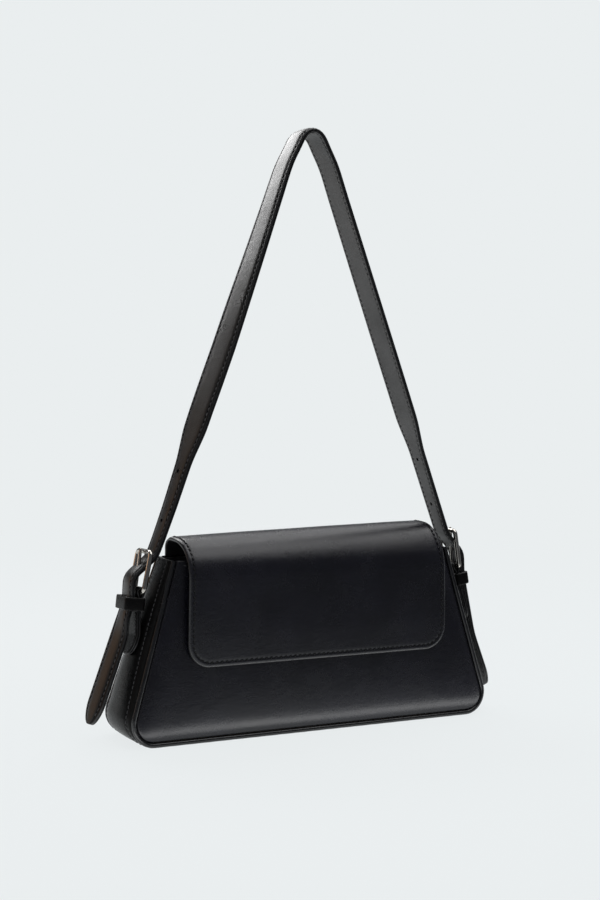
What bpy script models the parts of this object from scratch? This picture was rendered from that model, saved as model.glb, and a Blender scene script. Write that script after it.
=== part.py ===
"""A flap shoulder bag with a buckled leather strap, in metres.

X runs to the right seen from the front, the front faces -Y, and +Z is up.
The origin is the centre of the flat base. The strap is buckled at its middle hole on both sides.
"""

import math

import bmesh
import bpy
from mathutils import Matrix, Vector

# Bag body
BASE_WIDTH = 0.266          # outline of the front, where its side and bottom lines meet
TOP_WIDTH = 0.1997
BODY_HEIGHT = 0.1115
BASE_DEPTH = 0.0468
TOP_DEPTH = 0.0256
CORNER_RADIUS = 0.015
PANEL_THICKNESS = 0.0018
GUSSET_THICKNESS = 0.0018
PIPING_RADIUS = 0.0015
FRONT_CROWN = 0.0018        # how far the middle of a panel stands proud of its seam
BACK_CROWN = 0.0014
GUSSET_BULGE = 0.0050
BULGE_END_SHARE = 0.12      # what is left of the bulge at the base and at the stiff top edge
BULGE_LOW_POWER = 0.8       # puts the fullest place a little below the middle
BULGE_BOX_POWER = 2.6       # how boxy the bulge is from front to back
SEAT_GAP = 0.0003           # between pieces that touch on the real bag

# Inside
LINING_THICKNESS = 0.0008
BOARD_CORNER_RADIUS = 0.005
LINING_TOP_DROP = 0.0010
BOARD_THICKNESS = 0.0015
POCKET_WIDTH = 0.110
POCKET_HEIGHT = 0.055
POCKET_DEPTH = 0.0076
POCKET_WALL = 0.0008
POCKET_FLOOR_HEIGHT = 0.030

# Flap
FLAP_SIDE_MARGIN = 0.0071    # the bag's top edge reaches this far past the flap on each side
FLAP_DROP = 0.0645           # its lower edge below the bag's top edge
FLAP_TOP_RISE = 0.0135       # its top above the bag's top edge
FLAP_LIFT = 0.0007           # how much higher the soft top stands than that
FLAP_SKEW = 0.0020           # and how much more at its right end, or less at its left
FLAP_EASE = 0.0026           # how much narrower its right end is over the top than at the bottom
FLAP_BOTTOM_STAND = 0.005668   # its outer face in front of the front panel's seam, at the lower edge
FLAP_SHOULDER_STAND = 0.0100   # and in front of the bag's top edge, level with the flap's top
FLAP_FRONT_RADIUS = 0.0240
FLAP_BACK_RADIUS = 0.0080
FLAP_BACK_LEAN = 0.0010
FLAP_CORNER_RADIUS = 0.015
FLAP_LEATHER = 0.0014
FLAP_LINING = 0.0010
FLAP_LINING_INSET = 0.0006
FLAP_ROOT_HEIGHT = 0.0200    # the sewn part behind the bag, below its top edge
HINGE_RISE = 0.0020          # fold line above the bag's top edge

# Magnetic snap
SNAP_DROP = 0.0425           # its middle below the bag's top edge
SNAP_RADIUS = 0.0075
SNAP_THICKNESS = 0.0008
SNAP_BOSS_RADIUS = 0.0028
SNAP_WELL_RADIUS = 0.0040
SNAP_BOSS_HEIGHT = 0.0005
WASHER_RADIUS = 0.0060

# Strap
STRAP_NARROW = 0.0150
STRAP_WIDE = 0.0215
STRAP_OUTER = 0.0014         # the outer leather at its stitched edge
STRAP_CROWN = 0.0007         # its padded middle above that
STRAP_CROWN_MARGIN = 0.0034
STRAP_LINING = 0.0011
STRAP_LAYER_GAP = 0.0003
STRAP_APEX_HEIGHT = 0.3788
STRAP_LEAN = math.radians(2.9)   # it stands a little behind upright
STRAP_APEX_RADIUS = 0.012
STRAP_CROSSING_RADIUS = 0.012
STRAP_BULGE_RADIUS = 0.012
STRAP_SPLAY_RADIUS = 0.016
STRAP_TAIL_RADIUS = 0.060
STRAP_TIP_LENGTH = 0.013
STRAP_TIP_WIDTH = 0.0020
TAPER_FROM_HOLE = 0.067      # along the strap, from the buckled hole to where it starts to widen
TAPER_LENGTH = 0.028
HOLE_RADIUS = 0.0017
HOLE_PITCH = 0.032
HOLES_UP = 2
HOLES_DOWN = 1

# Buckle, prong, chape and keeper
BAR_RADIUS = 0.0015
BUCKLE_LENGTH = 0.0245       # between the centres of the heel bar and the top bar
BUCKLE_INNER_WIDTH = 0.0166
BUCKLE_CORNER_RADIUS = 0.0027
PRONG_RADIUS = 0.0011
PRONG_LOOP_THICKNESS = 0.0012
PRONG_LOOP_WIDTH = 0.0028
PRONG_OVERHANG = 0.0015
PRONG_TIP_RADIUS = 0.0006
CHAPE_THICKNESS = 0.0013
CHAPE_WIDTH = 0.0138
CHAPE_END_WIDTH = 0.0190
CHAPE_LENGTH = 0.0385        # from the heel bar to its round end
CHAPE_FREE_LENGTH = 0.0260   # from the heel bar to where it meets the gusset
CHAPE_JOIN = 0.0040          # below the heel bar, where its two layers meet
CHAPE_SLOT_WIDTH = 0.0040
CHAPE_SLOT_DEPTH = 0.0038
KEEPER_HEIGHT = 0.0082
KEEPER_THICKNESS = 0.0011
KEEPER_TRAVEL = 0.0030       # how far it slides down
KEEPER_CORNER_RADIUS = 0.0016
KEEPER_ROOM = 0.0003
TAB_ROOT_DROP = 0.0530       # the sewn ends of the chapes, about which the strap swings
BULGE_RISE = 0.0084          # where the strap turns down, above the heel bar
BULGE_REACH = 0.0012         # and how much further out than beside the heel bar
SPLAY_DROP = 0.0070          # where the tail turns outward, below the heel bar
LEG_TWIST_LOW_POWER = 0.75   # puts the most twisted place of each leg below its middle
LEG_TWIST_PEAK_POWER = 1.4
TAIL_TWIST_RUN = 0.0160

# What differs between the two ends of the strap: the heel bar's drop below the bag's top edge and its
# distance from the bag's side line, how far the buckle tips in, how far the keeper's middle is below the
# heel bar, how far the tail stands off the chape where it turns, two points of the tail, each as a share of
# the heel bar's height and a distance from the side line, and how far the leg and the tail are twisted
SIDES = {
    "left": {
        "sign": -1,
        "heel_drop": 0.0193,
        "heel_out": 0.01101,
        "tilt": math.radians(12),
        "keeper_drop": 0.0074,
        "splay_reach": 0.0018,
        "bend_share": 0.4957,
        "bend_out": 0.01789,
        "tip_share": 0.1497,
        "tip_out": 0.02010,
        "leg_twist": math.radians(16),
        "tail_twist": math.radians(15),
    },
    "right": {
        "sign": 1,
        "heel_drop": 0.0147,
        "heel_out": 0.00888,
        "tilt": math.radians(9),
        "keeper_drop": 0.0088,
        "splay_reach": 0.0006,
        "bend_share": 0.5269,
        "bend_out": 0.00916,
        "tip_share": 0.1467,
        "tip_out": 0.01277,
        "leg_twist": math.radians(-3),
        "tail_twist": 0.0,
    },
}

# Smoothness
CORNER_STEPS = 9
SIDE_STEPS = 7
BEND_ANGLE = math.radians(10.5)
RING_SHARES = (1.0, 0.965, 0.90, 0.78, 0.60, 0.36)
GUSSET_ROWS = 6
ROUND_SIDES = 20
HOLE_SIDES = 12
TIP_STEPS = 7
CHAPE_END_STEPS = 7
TUBE_SIDES = 10
STRAIGHT_STEP = 0.014
STRAP_STEP = 0.008
TWIST_STEPS = 8
KEEPER_SAMPLES = 30
CUT_OVERRUN = 0.002
APEX_PASSES = 6

UNDER_BAR_TURN = math.pi / 6
SIDE_LEAN = math.atan((BASE_WIDTH - TOP_WIDTH) / 2 / BODY_HEIGHT)
FLAP_WIDTH = TOP_WIDTH - 2 * FLAP_SIDE_MARGIN
FLAP_BOTTOM_HEIGHT = BODY_HEIGHT - FLAP_DROP
FLAP_TOP_HEIGHT = BODY_HEIGHT + FLAP_TOP_RISE
SNAP_HEIGHT = BODY_HEIGHT - SNAP_DROP
TAB_ROOT_HEIGHT = BODY_HEIGHT - TAB_ROOT_DROP
STRAP_HALF = (STRAP_OUTER + STRAP_CROWN + STRAP_LAYER_GAP + STRAP_LINING) / 2


def clear_scene():
    for old in list(bpy.data.objects):
        bpy.data.objects.remove(old, do_unlink=True)


def make_material(name, colour, roughness, metallic=0.0):
    material = bpy.data.materials.new(name)
    material.use_nodes = True
    shader = material.node_tree.nodes["Principled BSDF"]
    shader.inputs["Base Color"].default_value = (*colour, 1.0)
    shader.inputs["Roughness"].default_value = roughness
    shader.inputs["Metallic"].default_value = metallic
    return material


LOOKS = {
    "leather": ((0.016, 0.016, 0.019), 0.42, 0.0),
    "strap": ((0.026, 0.024, 0.023), 0.45, 0.0),
    "edge": ((0.010, 0.010, 0.011), 0.38, 0.0),
    "cloth": ((0.035, 0.034, 0.036), 0.85, 0.0),
    "board": ((0.22, 0.19, 0.15), 0.90, 0.0),
    "metal": ((0.72, 0.71, 0.69), 0.18, 1.0),
}


def empty_at(name, place):
    """A frame of reference on a joint's axis."""
    empty = bpy.data.objects.new(name, None)
    empty.location = place
    bpy.context.scene.collection.objects.link(empty)
    return empty


def add_object(name, data, look, parent):
    """Links an object whose points are written in the bag's own frame."""
    colour, roughness, metallic = LOOKS[look]
    data.materials.append(make_material(name, colour, roughness, metallic))
    item = bpy.data.objects.new(name, data)
    bpy.context.scene.collection.objects.link(item)
    if parent is not None:
        item.parent = parent
        data.transform(parent_offset(parent))
    return item


def parent_offset(parent):
    return Matrix.Translation(-Vector(parent.location))


def add_mesh(name, points, faces, look, parent, sharp=math.radians(40)):
    mesh = bpy.data.meshes.new(name)
    mesh.from_pydata([tuple(p) for p in points], [], faces)
    work = bmesh.new()
    work.from_mesh(mesh)
    bmesh.ops.recalc_face_normals(work, faces=work.faces)
    work.to_mesh(mesh)
    work.free()
    mesh.shade_smooth()
    mesh.set_sharp_from_angle(angle=sharp)
    return add_object(name, mesh, look, parent)


def slab(name, front, back, look, parent):
    """A closed sheet between two grids of points with the same rows and columns."""
    rows = len(front)
    columns = len(front[0])
    points = [p for row in front for p in row] + [p for row in back for p in row]
    under = rows * columns
    faces = []
    for r in range(rows - 1):
        for c in range(columns - 1):
            a = r * columns + c
            quad = (a, a + 1, a + columns + 1, a + columns)
            faces.append(quad)
            faces.append(tuple(under + i for i in reversed(quad)))
    rim = [c for c in range(columns)]
    rim += [r * columns + columns - 1 for r in range(1, rows)]
    rim += [(rows - 1) * columns + c for c in range(columns - 2, -1, -1)]
    rim += [r * columns for r in range(rows - 2, 0, -1)]
    for a, b in zip(rim, rim[1:] + rim[:1]):
        faces.append((a, b, under + b, under + a))
    return add_mesh(name, points, faces, look, parent)


def sweep(name, rings, look, parent, loop=False, sharp=math.radians(40), pose=None):
    """Skins rings of points into one tube, capped at both ends unless it closes on itself."""
    count = len(rings[0])
    points = [pose @ p if pose else p for ring in rings for p in ring]
    faces = []
    spans = len(rings) if loop else len(rings) - 1
    for r in range(spans):
        here = r * count
        there = (r + 1) % len(rings) * count
        for c in range(count):
            d = (c + 1) % count
            faces.append((here + c, here + d, there + d, there + c))
    if not loop:
        faces.append(tuple(range(count)))
        faces.append(tuple((len(rings) - 1) * count + c for c in reversed(range(count))))
    return add_mesh(name, points, faces, look, parent, sharp)


def cylinder(name, centre, axis, radius, length, look, parent, sides=ROUND_SIDES, pose=None):
    """A solid disc or pin whose axis passes through its centre."""
    axis = Vector(axis).normalized()
    across = axis.orthogonal().normalized()
    other = axis.cross(across)
    rings = []
    for end in (-length / 2, length / 2):
        ring = []
        for i in range(sides):
            turn = math.tau * i / sides
            ring.append(Vector(centre) + axis * end
                        + (across * math.cos(turn) + other * math.sin(turn)) * radius)
        rings.append(ring)
    return sweep(name, rings, look, parent, pose=pose)


def hide_cutter(cutter):
    cutter.hide_render = True
    cutter.display_type = "WIRE"


def cut(item, cutter):
    modifier = item.modifiers.new(f"cut_{cutter.name}", "BOOLEAN")
    modifier.operation = "DIFFERENCE"
    modifier.object = cutter
    hide_cutter(cutter)


def rounded(corners, radii):
    """A path through corners in one plane, with an arc of the given radius at each inner one."""
    corners = [Vector(c) for c in corners]
    path = [corners[0]]
    for i in range(1, len(corners) - 1):
        into = (corners[i] - corners[i - 1]).normalized()
        away = (corners[i + 1] - corners[i]).normalized()
        turn = into.angle(away)
        reach = radii[i - 1] * math.tan(turn / 2)
        start = corners[i] - into * reach
        middle = (away - into).normalized()
        centre = corners[i] + middle * (radii[i - 1] / math.cos(turn / 2))
        arm = start - centre
        side = into * radii[i - 1]
        steps = max(2, math.ceil(turn / BEND_ANGLE))
        for k in range(steps + 1):
            angle = turn * k / steps
            path.append(centre + arm * math.cos(angle) + side * math.sin(angle))
    path.append(corners[-1])
    return path


class Route:
    """A path in one plane that can be read at any distance along it."""

    def __init__(self, points):
        self.points = points
        self.lengths = [0.0]
        for a, b in zip(points, points[1:]):
            self.lengths.append(self.lengths[-1] + (b - a).length)
        self.total = self.lengths[-1]

    def at(self, distance):
        distance = min(max(distance, 0.0), self.total)
        for i in range(len(self.points) - 1):
            if distance <= self.lengths[i + 1] or i == len(self.points) - 2:
                span = self.lengths[i + 1] - self.lengths[i]
                share = (distance - self.lengths[i]) / span
                return self.points[i].lerp(self.points[i + 1], share)

    def direction(self, distance):
        reach = SEAT_GAP
        return (self.at(distance + reach) - self.at(distance - reach)).normalized()

    def distance_near(self, place):
        """The distance along the path at which it passes nearest to a point."""
        best = min(range(len(self.points) - 1), key=lambda i: self.miss(i, place)[0])
        return self.miss(best, place)[1]

    def miss(self, i, place):
        a, b = self.points[i], self.points[i + 1]
        span = b - a
        share = min(max((place - a).dot(span) / span.length_squared, 0.0), 1.0)
        return (place - a.lerp(b, share)).length, self.lengths[i] + span.length * share

    def stops(self, step, extra=()):
        """Distances at every bend, with more of them along straight runs."""
        marks = sorted(set(self.lengths) | {d for d in extra if 0.0 < d < self.total})
        stops = [marks[0]]
        for mark in marks[1:]:
            if mark - stops[-1] < SEAT_GAP:
                continue
            pieces = max(1, math.ceil((mark - stops[-1]) / step))
            start = stops[-1]
            for k in range(1, pieces + 1):
                stops.append(start + (mark - start) * k / pieces)
        return stops


# The bag's outline and depth


def half_depth(height):
    share = height / BODY_HEIGHT
    return (BASE_DEPTH + (TOP_DEPTH - BASE_DEPTH) * share) / 2


def corner_centre():
    across = BASE_WIDTH / 2 - CORNER_RADIUS * math.tan(SIDE_LEAN) - CORNER_RADIUS / math.cos(SIDE_LEAN)
    return across, CORNER_RADIUS


def side_at(height, inset=0.0):
    """Half the width of the outline, moved inward by inset, at a height above the base."""
    across, up = corner_centre()
    radius = CORNER_RADIUS - inset
    if height < up - radius * -math.sin(SIDE_LEAN):
        drop = min(max(up - height, 0.0), radius)
        if height < up:
            return across + math.sqrt(max(radius ** 2 - drop ** 2, 0.0))
        return across + math.sqrt(max(radius ** 2 - (height - up) ** 2, 0.0))
    return BASE_WIDTH / 2 - height * math.tan(SIDE_LEAN) - inset / math.cos(SIDE_LEAN)


def half_outline(inset=0.0):
    """Points (x, z) and outward normals, from the middle of the bottom to the top of the right side."""
    across, up = corner_centre()
    radius = CORNER_RADIUS - inset
    places = [(across * k / SIDE_STEPS, inset, 0.0, -1.0) for k in range(SIDE_STEPS)]
    for k in range(CORNER_STEPS + 1):
        turn = -math.pi / 2 + (math.pi / 2 + SIDE_LEAN) * k / CORNER_STEPS
        places.append((across + radius * math.cos(turn), up + radius * math.sin(turn),
                       math.cos(turn), math.sin(turn)))
    start = places[-1][1]
    for k in range(1, SIDE_STEPS + 1):
        height = start + (BODY_HEIGHT - start) * k / SIDE_STEPS
        places.append((side_at(height, inset), height, math.cos(SIDE_LEAN), math.sin(SIDE_LEAN)))
    return places


def outline(inset=0.0):
    """The whole seam line, from the top left round the bottom to the top right."""
    right = half_outline(inset)
    left = [(-x, z, -nx, nz) for x, z, nx, nz in reversed(right[1:])]
    return left + right


def crown_share(ring_share):
    return 1.0 - ring_share ** 4


def panel(name, facing, crown, parent):
    """A front or back panel: rings drawn in from the seam to the middle, and a leather's thickness."""
    inset = 2 * PIPING_RADIUS + SEAT_GAP
    edge = [(x, z) for x, z, _, _ in outline(inset)]
    top = [(edge[-1][0] * (1 - 2 * k / SIDE_STEPS), BODY_HEIGHT) for k in range(1, SIDE_STEPS)]
    edge += top
    middle_height = BODY_HEIGHT / 2
    points = []
    for layer in (0.0, PANEL_THICKNESS):
        for share in RING_SHARES:
            for x, z in edge:
                height = middle_height + (z - middle_height) * share
                out = half_depth(height) + crown * crown_share(share) - layer
                points.append((x * share, facing * out, height))
        points.append((0.0, facing * (half_depth(middle_height) + crown - layer), middle_height))
    count = len(edge)
    rings = len(RING_SHARES)
    layer_size = count * rings + 1
    faces = []
    for layer in range(2):
        base = layer * layer_size
        for r in range(rings - 1):
            for c in range(count):
                d = (c + 1) % count
                a = base + r * count
                faces.append((a + c, a + d, a + count + d, a + count + c))
        last = base + (rings - 1) * count
        for c in range(count):
            faces.append((last + c, last + (c + 1) % count, base + layer_size - 1))
    for c in range(count):
        d = (c + 1) % count
        faces.append((c, d, layer_size + d, layer_size + c))
    return add_mesh(name, points, faces, "leather", parent)


def bulge_at(height):
    """How far the gusset's middle stands out sideways, least at the base and the top."""
    share = min(max(height / BODY_HEIGHT, 0.0), 1.0)
    full = math.sin(math.pi * share ** BULGE_LOW_POWER)
    return GUSSET_BULGE * (BULGE_END_SHARE + (1 - BULGE_END_SHARE) * full)


def gusset_surface(x, z, nx, nz, across):
    """A point on the gusset's outer face. across runs from -1 at the front edge to 1 at the back."""
    reach = half_depth(z) - 2 * PIPING_RADIUS - SEAT_GAP
    bulge = bulge_at(z) * nx ** 2 * (1 - abs(across) ** BULGE_BOX_POWER)
    return Vector((x + nx * bulge, reach * across, z + nz * bulge))


def make_gusset(parent):
    outer = []
    inner = []
    for x, z, nx, nz in outline():
        row = [gusset_surface(x, z, nx, nz, -1 + 2 * k / GUSSET_ROWS) for k in range(GUSSET_ROWS + 1)]
        outer.append(row)
        depth = Vector((nx, 0.0, nz)) * GUSSET_THICKNESS
        inner.append([p - depth for p in row])
    for row in inner[:1] + inner[-1:]:
        for p in row:
            p.z = BODY_HEIGHT
    for row in outer[:1] + outer[-1:]:
        for p in row:
            p.z = BODY_HEIGHT
    return slab("gusset", outer, inner, "leather", parent)


def make_piping(name, facing, parent):
    """A cord of leather along the seam between a panel and the gusset."""
    rings = []
    for x, z, nx, nz in outline(PIPING_RADIUS):
        centre = Vector((x, facing * (half_depth(z) - PIPING_RADIUS), z))
        normal = Vector((nx, 0.0, nz))
        ring = []
        for k in range(TUBE_SIDES):
            turn = math.tau * k / TUBE_SIDES
            ring.append(centre + (normal * math.cos(turn) + Vector((0.0, 1.0, 0.0)) * math.sin(turn))
                        * PIPING_RADIUS)
        rings.append(ring)
    return sweep(name, rings, "edge", parent, sharp=math.pi)


def rounded_rectangle(half_x, half_y, radius, steps=4):
    points = []
    for quarter in range(4):
        sign_x = 1 if quarter in (0, 3) else -1
        sign_y = 1 if quarter in (0, 1) else -1
        for k in range(steps + 1):
            turn = math.pi / 2 * (quarter + k / steps)
            points.append((sign_x * (half_x - radius) + radius * math.cos(turn),
                           sign_y * (half_y - radius) + radius * math.sin(turn)))
    return points


def lining_floor():
    return GUSSET_THICKNESS + 2 * SEAT_GAP + BOARD_THICKNESS


def lining_outline(inset, floor):
    """The lining's own seam line, which runs over the base board at the bottom."""
    top = BODY_HEIGHT - LINING_TOP_DROP
    line = []
    for x, z, _, _ in outline(inset):
        if z == BODY_HEIGHT:
            x -= math.copysign((top - z) * math.tan(SIDE_LEAN), x)
            z = top
        line.append((x, max(z, floor)))
    return line


def make_lining_panel(name, facing, parent):
    seam = lining_outline(2 * PIPING_RADIUS + SEAT_GAP, lining_floor())
    rings = []
    for layer in (0.0, LINING_THICKNESS):
        ring = []
        for x, z in seam:
            out = half_depth(z) - PANEL_THICKNESS - SEAT_GAP - layer
            ring.append(Vector((x, facing * out, z)))
        rings.append(ring)
    return sweep(name, rings, "cloth", parent)


def make_lining_gusset(parent):
    sides = []
    for layer in (0.0, LINING_THICKNESS):
        rows = []
        for x, z in lining_outline(GUSSET_THICKNESS + SEAT_GAP + layer, lining_floor() + layer):
            reach = half_depth(z) - 2 * PIPING_RADIUS - SEAT_GAP
            rows.append([Vector((x, -reach, z)), Vector((x, reach, z))])
        sides.append(rows)
    return slab("lining_gusset", sides[0], sides[1], "cloth", parent)


def make_base_board(parent):
    across, _ = corner_centre()
    low = GUSSET_THICKNESS + SEAT_GAP
    depth = half_depth(0.0) - 2 * PIPING_RADIUS - 2 * SEAT_GAP
    ring = rounded_rectangle(across, depth, BOARD_CORNER_RADIUS)
    rings = [[Vector((x, y, z)) for x, y in ring] for z in (low, low + BOARD_THICKNESS)]
    return sweep("base_board", rings, "board", parent)


def make_slip_pocket(parent):
    """A flat pouch on the back lining, open at the top."""
    lean = math.atan((BASE_DEPTH - TOP_DEPTH) / 2 / BODY_HEIGHT)
    wall = PANEL_THICKNESS + SEAT_GAP + LINING_THICKNESS + SEAT_GAP / math.cos(lean)
    up = Vector((0.0, -math.sin(lean), math.cos(lean)))
    inward = Vector((0.0, -math.cos(lean), -math.sin(lean)))
    foot = Vector((0.0, half_depth(POCKET_FLOOR_HEIGHT) - wall, POCKET_FLOOR_HEIGHT))
    side = Vector((1.0, 0.0, 0.0))
    hollow_depth = POCKET_DEPTH - POCKET_WALL

    def corner(across, depth, rise):
        return foot + side * across + inward * depth + up * rise

    half = POCKET_WIDTH / 2
    thin = half - POCKET_WALL
    section = [(-half, 0.0), (-half, POCKET_DEPTH), (half, POCKET_DEPTH), (half, 0.0),
               (thin, 0.0), (thin, hollow_depth), (-thin, hollow_depth), (-thin, 0.0)]
    floor = [(-thin, 0.0), (-thin, hollow_depth), (thin, hollow_depth), (thin, 0.0)]
    points = [corner(a, d, 0.0) for a, d in section]
    points += [corner(a, d, POCKET_HEIGHT) for a, d in section]
    points += [corner(a, d, POCKET_WALL) for a, d in floor]
    faces = [(8, 9, 14, 15), (9, 10, 13, 14), (10, 11, 12, 13)]
    faces += [(0, 1, 9, 8), (1, 2, 10, 9), (2, 3, 11, 10)]
    faces += [(0, 3, 2, 1)]
    faces += [(16, 17, 18, 19)]
    faces += [(16, 17, 14, 15), (17, 18, 13, 14), (18, 19, 12, 13)]
    faces += [(0, 8, 15, 16, 19, 12, 11, 3)]
    used = sorted({i for face in faces for i in face})
    renumber = {old: new for new, old in enumerate(used)}
    return add_mesh("slip_pocket", [points[i] for i in used],
                    [tuple(renumber[i] for i in face) for face in faces], "cloth", parent)


# The flap


def hinge_place():
    """The fold line, on the outer face of the flap leather behind the bag's top edge."""
    return Vector((0.0, half_depth(BODY_HEIGHT) + SEAT_GAP + FLAP_LEATHER, BODY_HEIGHT + HINGE_RISE))


def flap_profile():
    """The flap's outer face seen from its end, from the lower edge over the top to the fold."""
    hinge = hinge_place()
    corners = [
        (-half_depth(FLAP_BOTTOM_HEIGHT) - FLAP_BOTTOM_STAND, FLAP_BOTTOM_HEIGHT),
        (-TOP_DEPTH / 2 - FLAP_SHOULDER_STAND, FLAP_TOP_HEIGHT),
        (hinge.y + FLAP_BACK_LEAN, FLAP_TOP_HEIGHT),
        (hinge.y, hinge.z + SEAT_GAP),
    ]
    return Route(rounded(corners, [FLAP_FRONT_RADIUS, FLAP_BACK_RADIUS]))


def eased(x, place):
    """The right half is drawn in towards the top, and stays so over the back."""
    share = 1.0
    if place.x < 0:
        share = min(max((place.y - FLAP_BOTTOM_HEIGHT) / (FLAP_TOP_HEIGHT - FLAP_BOTTOM_HEIGHT), 0.0), 1.0)
    return x - FLAP_EASE * max(x, 0.0) / (FLAP_WIDTH / 2) * share ** 2


def lifted(x, place):
    """A point of the flap: above the fold its soft top stands higher at the right end than at the left."""
    share = min(max((place.y - hinge_place().z) / (FLAP_TOP_HEIGHT - hinge_place().z), 0.0), 1.0)
    rise = (FLAP_LIFT + FLAP_SKEW * x / (FLAP_WIDTH / 2)) * share
    return Vector((eased(x, place), place.x, place.y + rise))


def flap_sheet(name, depth, thickness, inset, look, parent):
    """One layer of the flap, depth inside its outer face and drawn in from its edge by inset."""
    route = flap_profile()
    radius = FLAP_CORNER_RADIUS - inset
    half = FLAP_WIDTH / 2 - inset
    marks = [inset + radius * (1 - math.cos(math.pi / 2 * k / CORNER_STEPS)) for k in range(CORNER_STEPS + 1)]
    stops = marks + [s for s in route.stops(STRAIGHT_STEP) if s > marks[-1] + SEAT_GAP]
    outer = []
    inner = []
    for stop in stops:
        place = route.at(stop)
        along = route.direction(stop)
        inward = Vector((along.y, -along.x))
        rise = max(radius - (stop - inset), 0.0)
        reach = half - radius + math.sqrt(radius ** 2 - rise ** 2)
        face = place + inward * depth
        back = place + inward * (depth + thickness)
        shares = [-1 + k / 2 for k in range(5)]
        outer.append([lifted(reach * s, face) for s in shares])
        inner.append([lifted(reach * s, back) for s in shares])
    return slab(name, outer, inner, look, parent)


def make_flap_root(parent):
    """The flap leather below the fold, sewn to the back panel."""
    hinge = hinge_place()
    outer = []
    inner = []
    rows = SIDE_STEPS
    for k in range(rows + 1):
        height = BODY_HEIGHT - FLAP_ROOT_HEIGHT * (1 - k / rows)
        ring = (height - BODY_HEIGHT / 2) / (BODY_HEIGHT / 2)
        out = half_depth(height) + BACK_CROWN * crown_share(ring) + SEAT_GAP
        inner.append((out, height))
        outer.append((out + FLAP_LEATHER, height))
    inner.append((hinge.y - FLAP_LEATHER, hinge.z - SEAT_GAP))
    outer.append((hinge.y, hinge.z - SEAT_GAP))
    sides = [eased(x, Vector(outer[0])) for x in (-FLAP_WIDTH / 2, FLAP_WIDTH / 2)]
    return slab("flap_root",
                [[Vector((x, y, z)) for x in sides] for y, z in outer],
                [[Vector((x, y, z)) for x in sides] for y, z in inner], "leather", parent)


def make_snap(bag, flap):
    """The two halves of the magnetic snap, and the washer behind the panel."""
    lean = math.atan((BASE_DEPTH - TOP_DEPTH) / 2 / BODY_HEIGHT)
    out = Vector((0.0, -math.cos(lean), math.sin(lean)))
    panel_face = Vector((0.0, -(half_depth(SNAP_HEIGHT) + FRONT_CROWN), SNAP_HEIGHT))
    socket_centre = panel_face + out * (SEAT_GAP + SNAP_THICKNESS / 2)
    socket = cylinder("snap_socket", socket_centre, out, SNAP_RADIUS, SNAP_THICKNESS, "metal", bag)
    well = cylinder("snap_well", socket_centre + out * SNAP_THICKNESS, out, SNAP_WELL_RADIUS,
                    2 * SNAP_BOSS_HEIGHT + SNAP_THICKNESS, "metal", bag)
    cut(socket, well)
    washer_centre = panel_face - out * (PANEL_THICKNESS + SEAT_GAP + SNAP_THICKNESS / 2)
    cylinder("snap_washer", washer_centre, out, WASHER_RADIUS, SNAP_THICKNESS, "metal", bag)

    route = flap_profile()
    stop = (SNAP_HEIGHT - FLAP_BOTTOM_HEIGHT) / math.cos(lean)
    along = route.direction(stop)
    inward = Vector((0.0, along.y, -along.x))
    face = route.at(stop)
    depth = FLAP_LEATHER + SEAT_GAP + FLAP_LINING + SEAT_GAP
    base = Vector((0.0, face.x, face.y)) + inward * (depth + SNAP_THICKNESS / 2)
    stud = cylinder("snap_stud", base, inward, SNAP_RADIUS, SNAP_THICKNESS, "metal", flap)
    boss_length = SNAP_THICKNESS / 2 + SNAP_BOSS_HEIGHT
    boss = cylinder("snap_boss", base + inward * boss_length / 2, inward, SNAP_BOSS_RADIUS,
                    boss_length, "metal", flap)
    union = stud.modifiers.new("boss", "BOOLEAN")
    union.operation = "UNION"
    union.object = boss
    hide_cutter(boss)


# The strap and what holds it


def strap_pose():
    """Tips the strap, its buckles and its tabs back about the tabs' sewn ends."""
    root = Vector((0.0, 0.0, TAB_ROOT_HEIGHT))
    return Matrix.Translation(root) @ Matrix.Rotation(-STRAP_LEAN, 4, "X") @ Matrix.Translation(-root)


def beside_bag(height, out):
    """A point at a height, out from the bag's straight side line, in (distance from the middle, height)."""
    return Vector((BASE_WIDTH / 2 - height * math.tan(SIDE_LEAN) + out, height))


def heel(side):
    details = SIDES[side]
    return beside_bag(BODY_HEIGHT - details["heel_drop"], details["heel_out"])


def tail_point(side, name):
    details = SIDES[side]
    return beside_bag(heel(side).y * details[f"{name}_share"], details[f"{name}_out"])


def top_bar(side):
    tilt = SIDES[side]["tilt"]
    return heel(side) + Vector((-math.sin(tilt), math.cos(tilt))) * BUCKLE_LENGTH


def beside_fold():
    """From the heel bar's centre to the middle of the strap that passes outside the fold."""
    return BAR_RADIUS + 2 * SEAT_GAP + CHAPE_THICKNESS + STRAP_HALF


def beside_chape():
    """From the middle of the chape's two layers to the middle of the tail that lies on them."""
    return CHAPE_THICKNESS + 1.5 * SEAT_GAP + STRAP_HALF


def strap_corners(side):
    """Where the strap turns at one end, in (distance from the middle, height)."""
    bar = top_bar(side)
    pin = heel(side)
    down, out = chape_axis(side)
    beside_bar = BAR_RADIUS + 2 * SEAT_GAP + STRAP_HALF
    under_bar = bar + Vector((-math.cos(UNDER_BAR_TURN), -math.sin(UNDER_BAR_TURN))) * beside_bar
    bulge = pin - down * BULGE_RISE + out * (beside_fold() + BULGE_REACH)
    splay = pin + down * SPLAY_DROP + out * (beside_chape() + SIDES[side]["splay_reach"])
    return [under_bar, bulge, splay, tail_point(side, "bend"), tail_point(side, "tip")]


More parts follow.
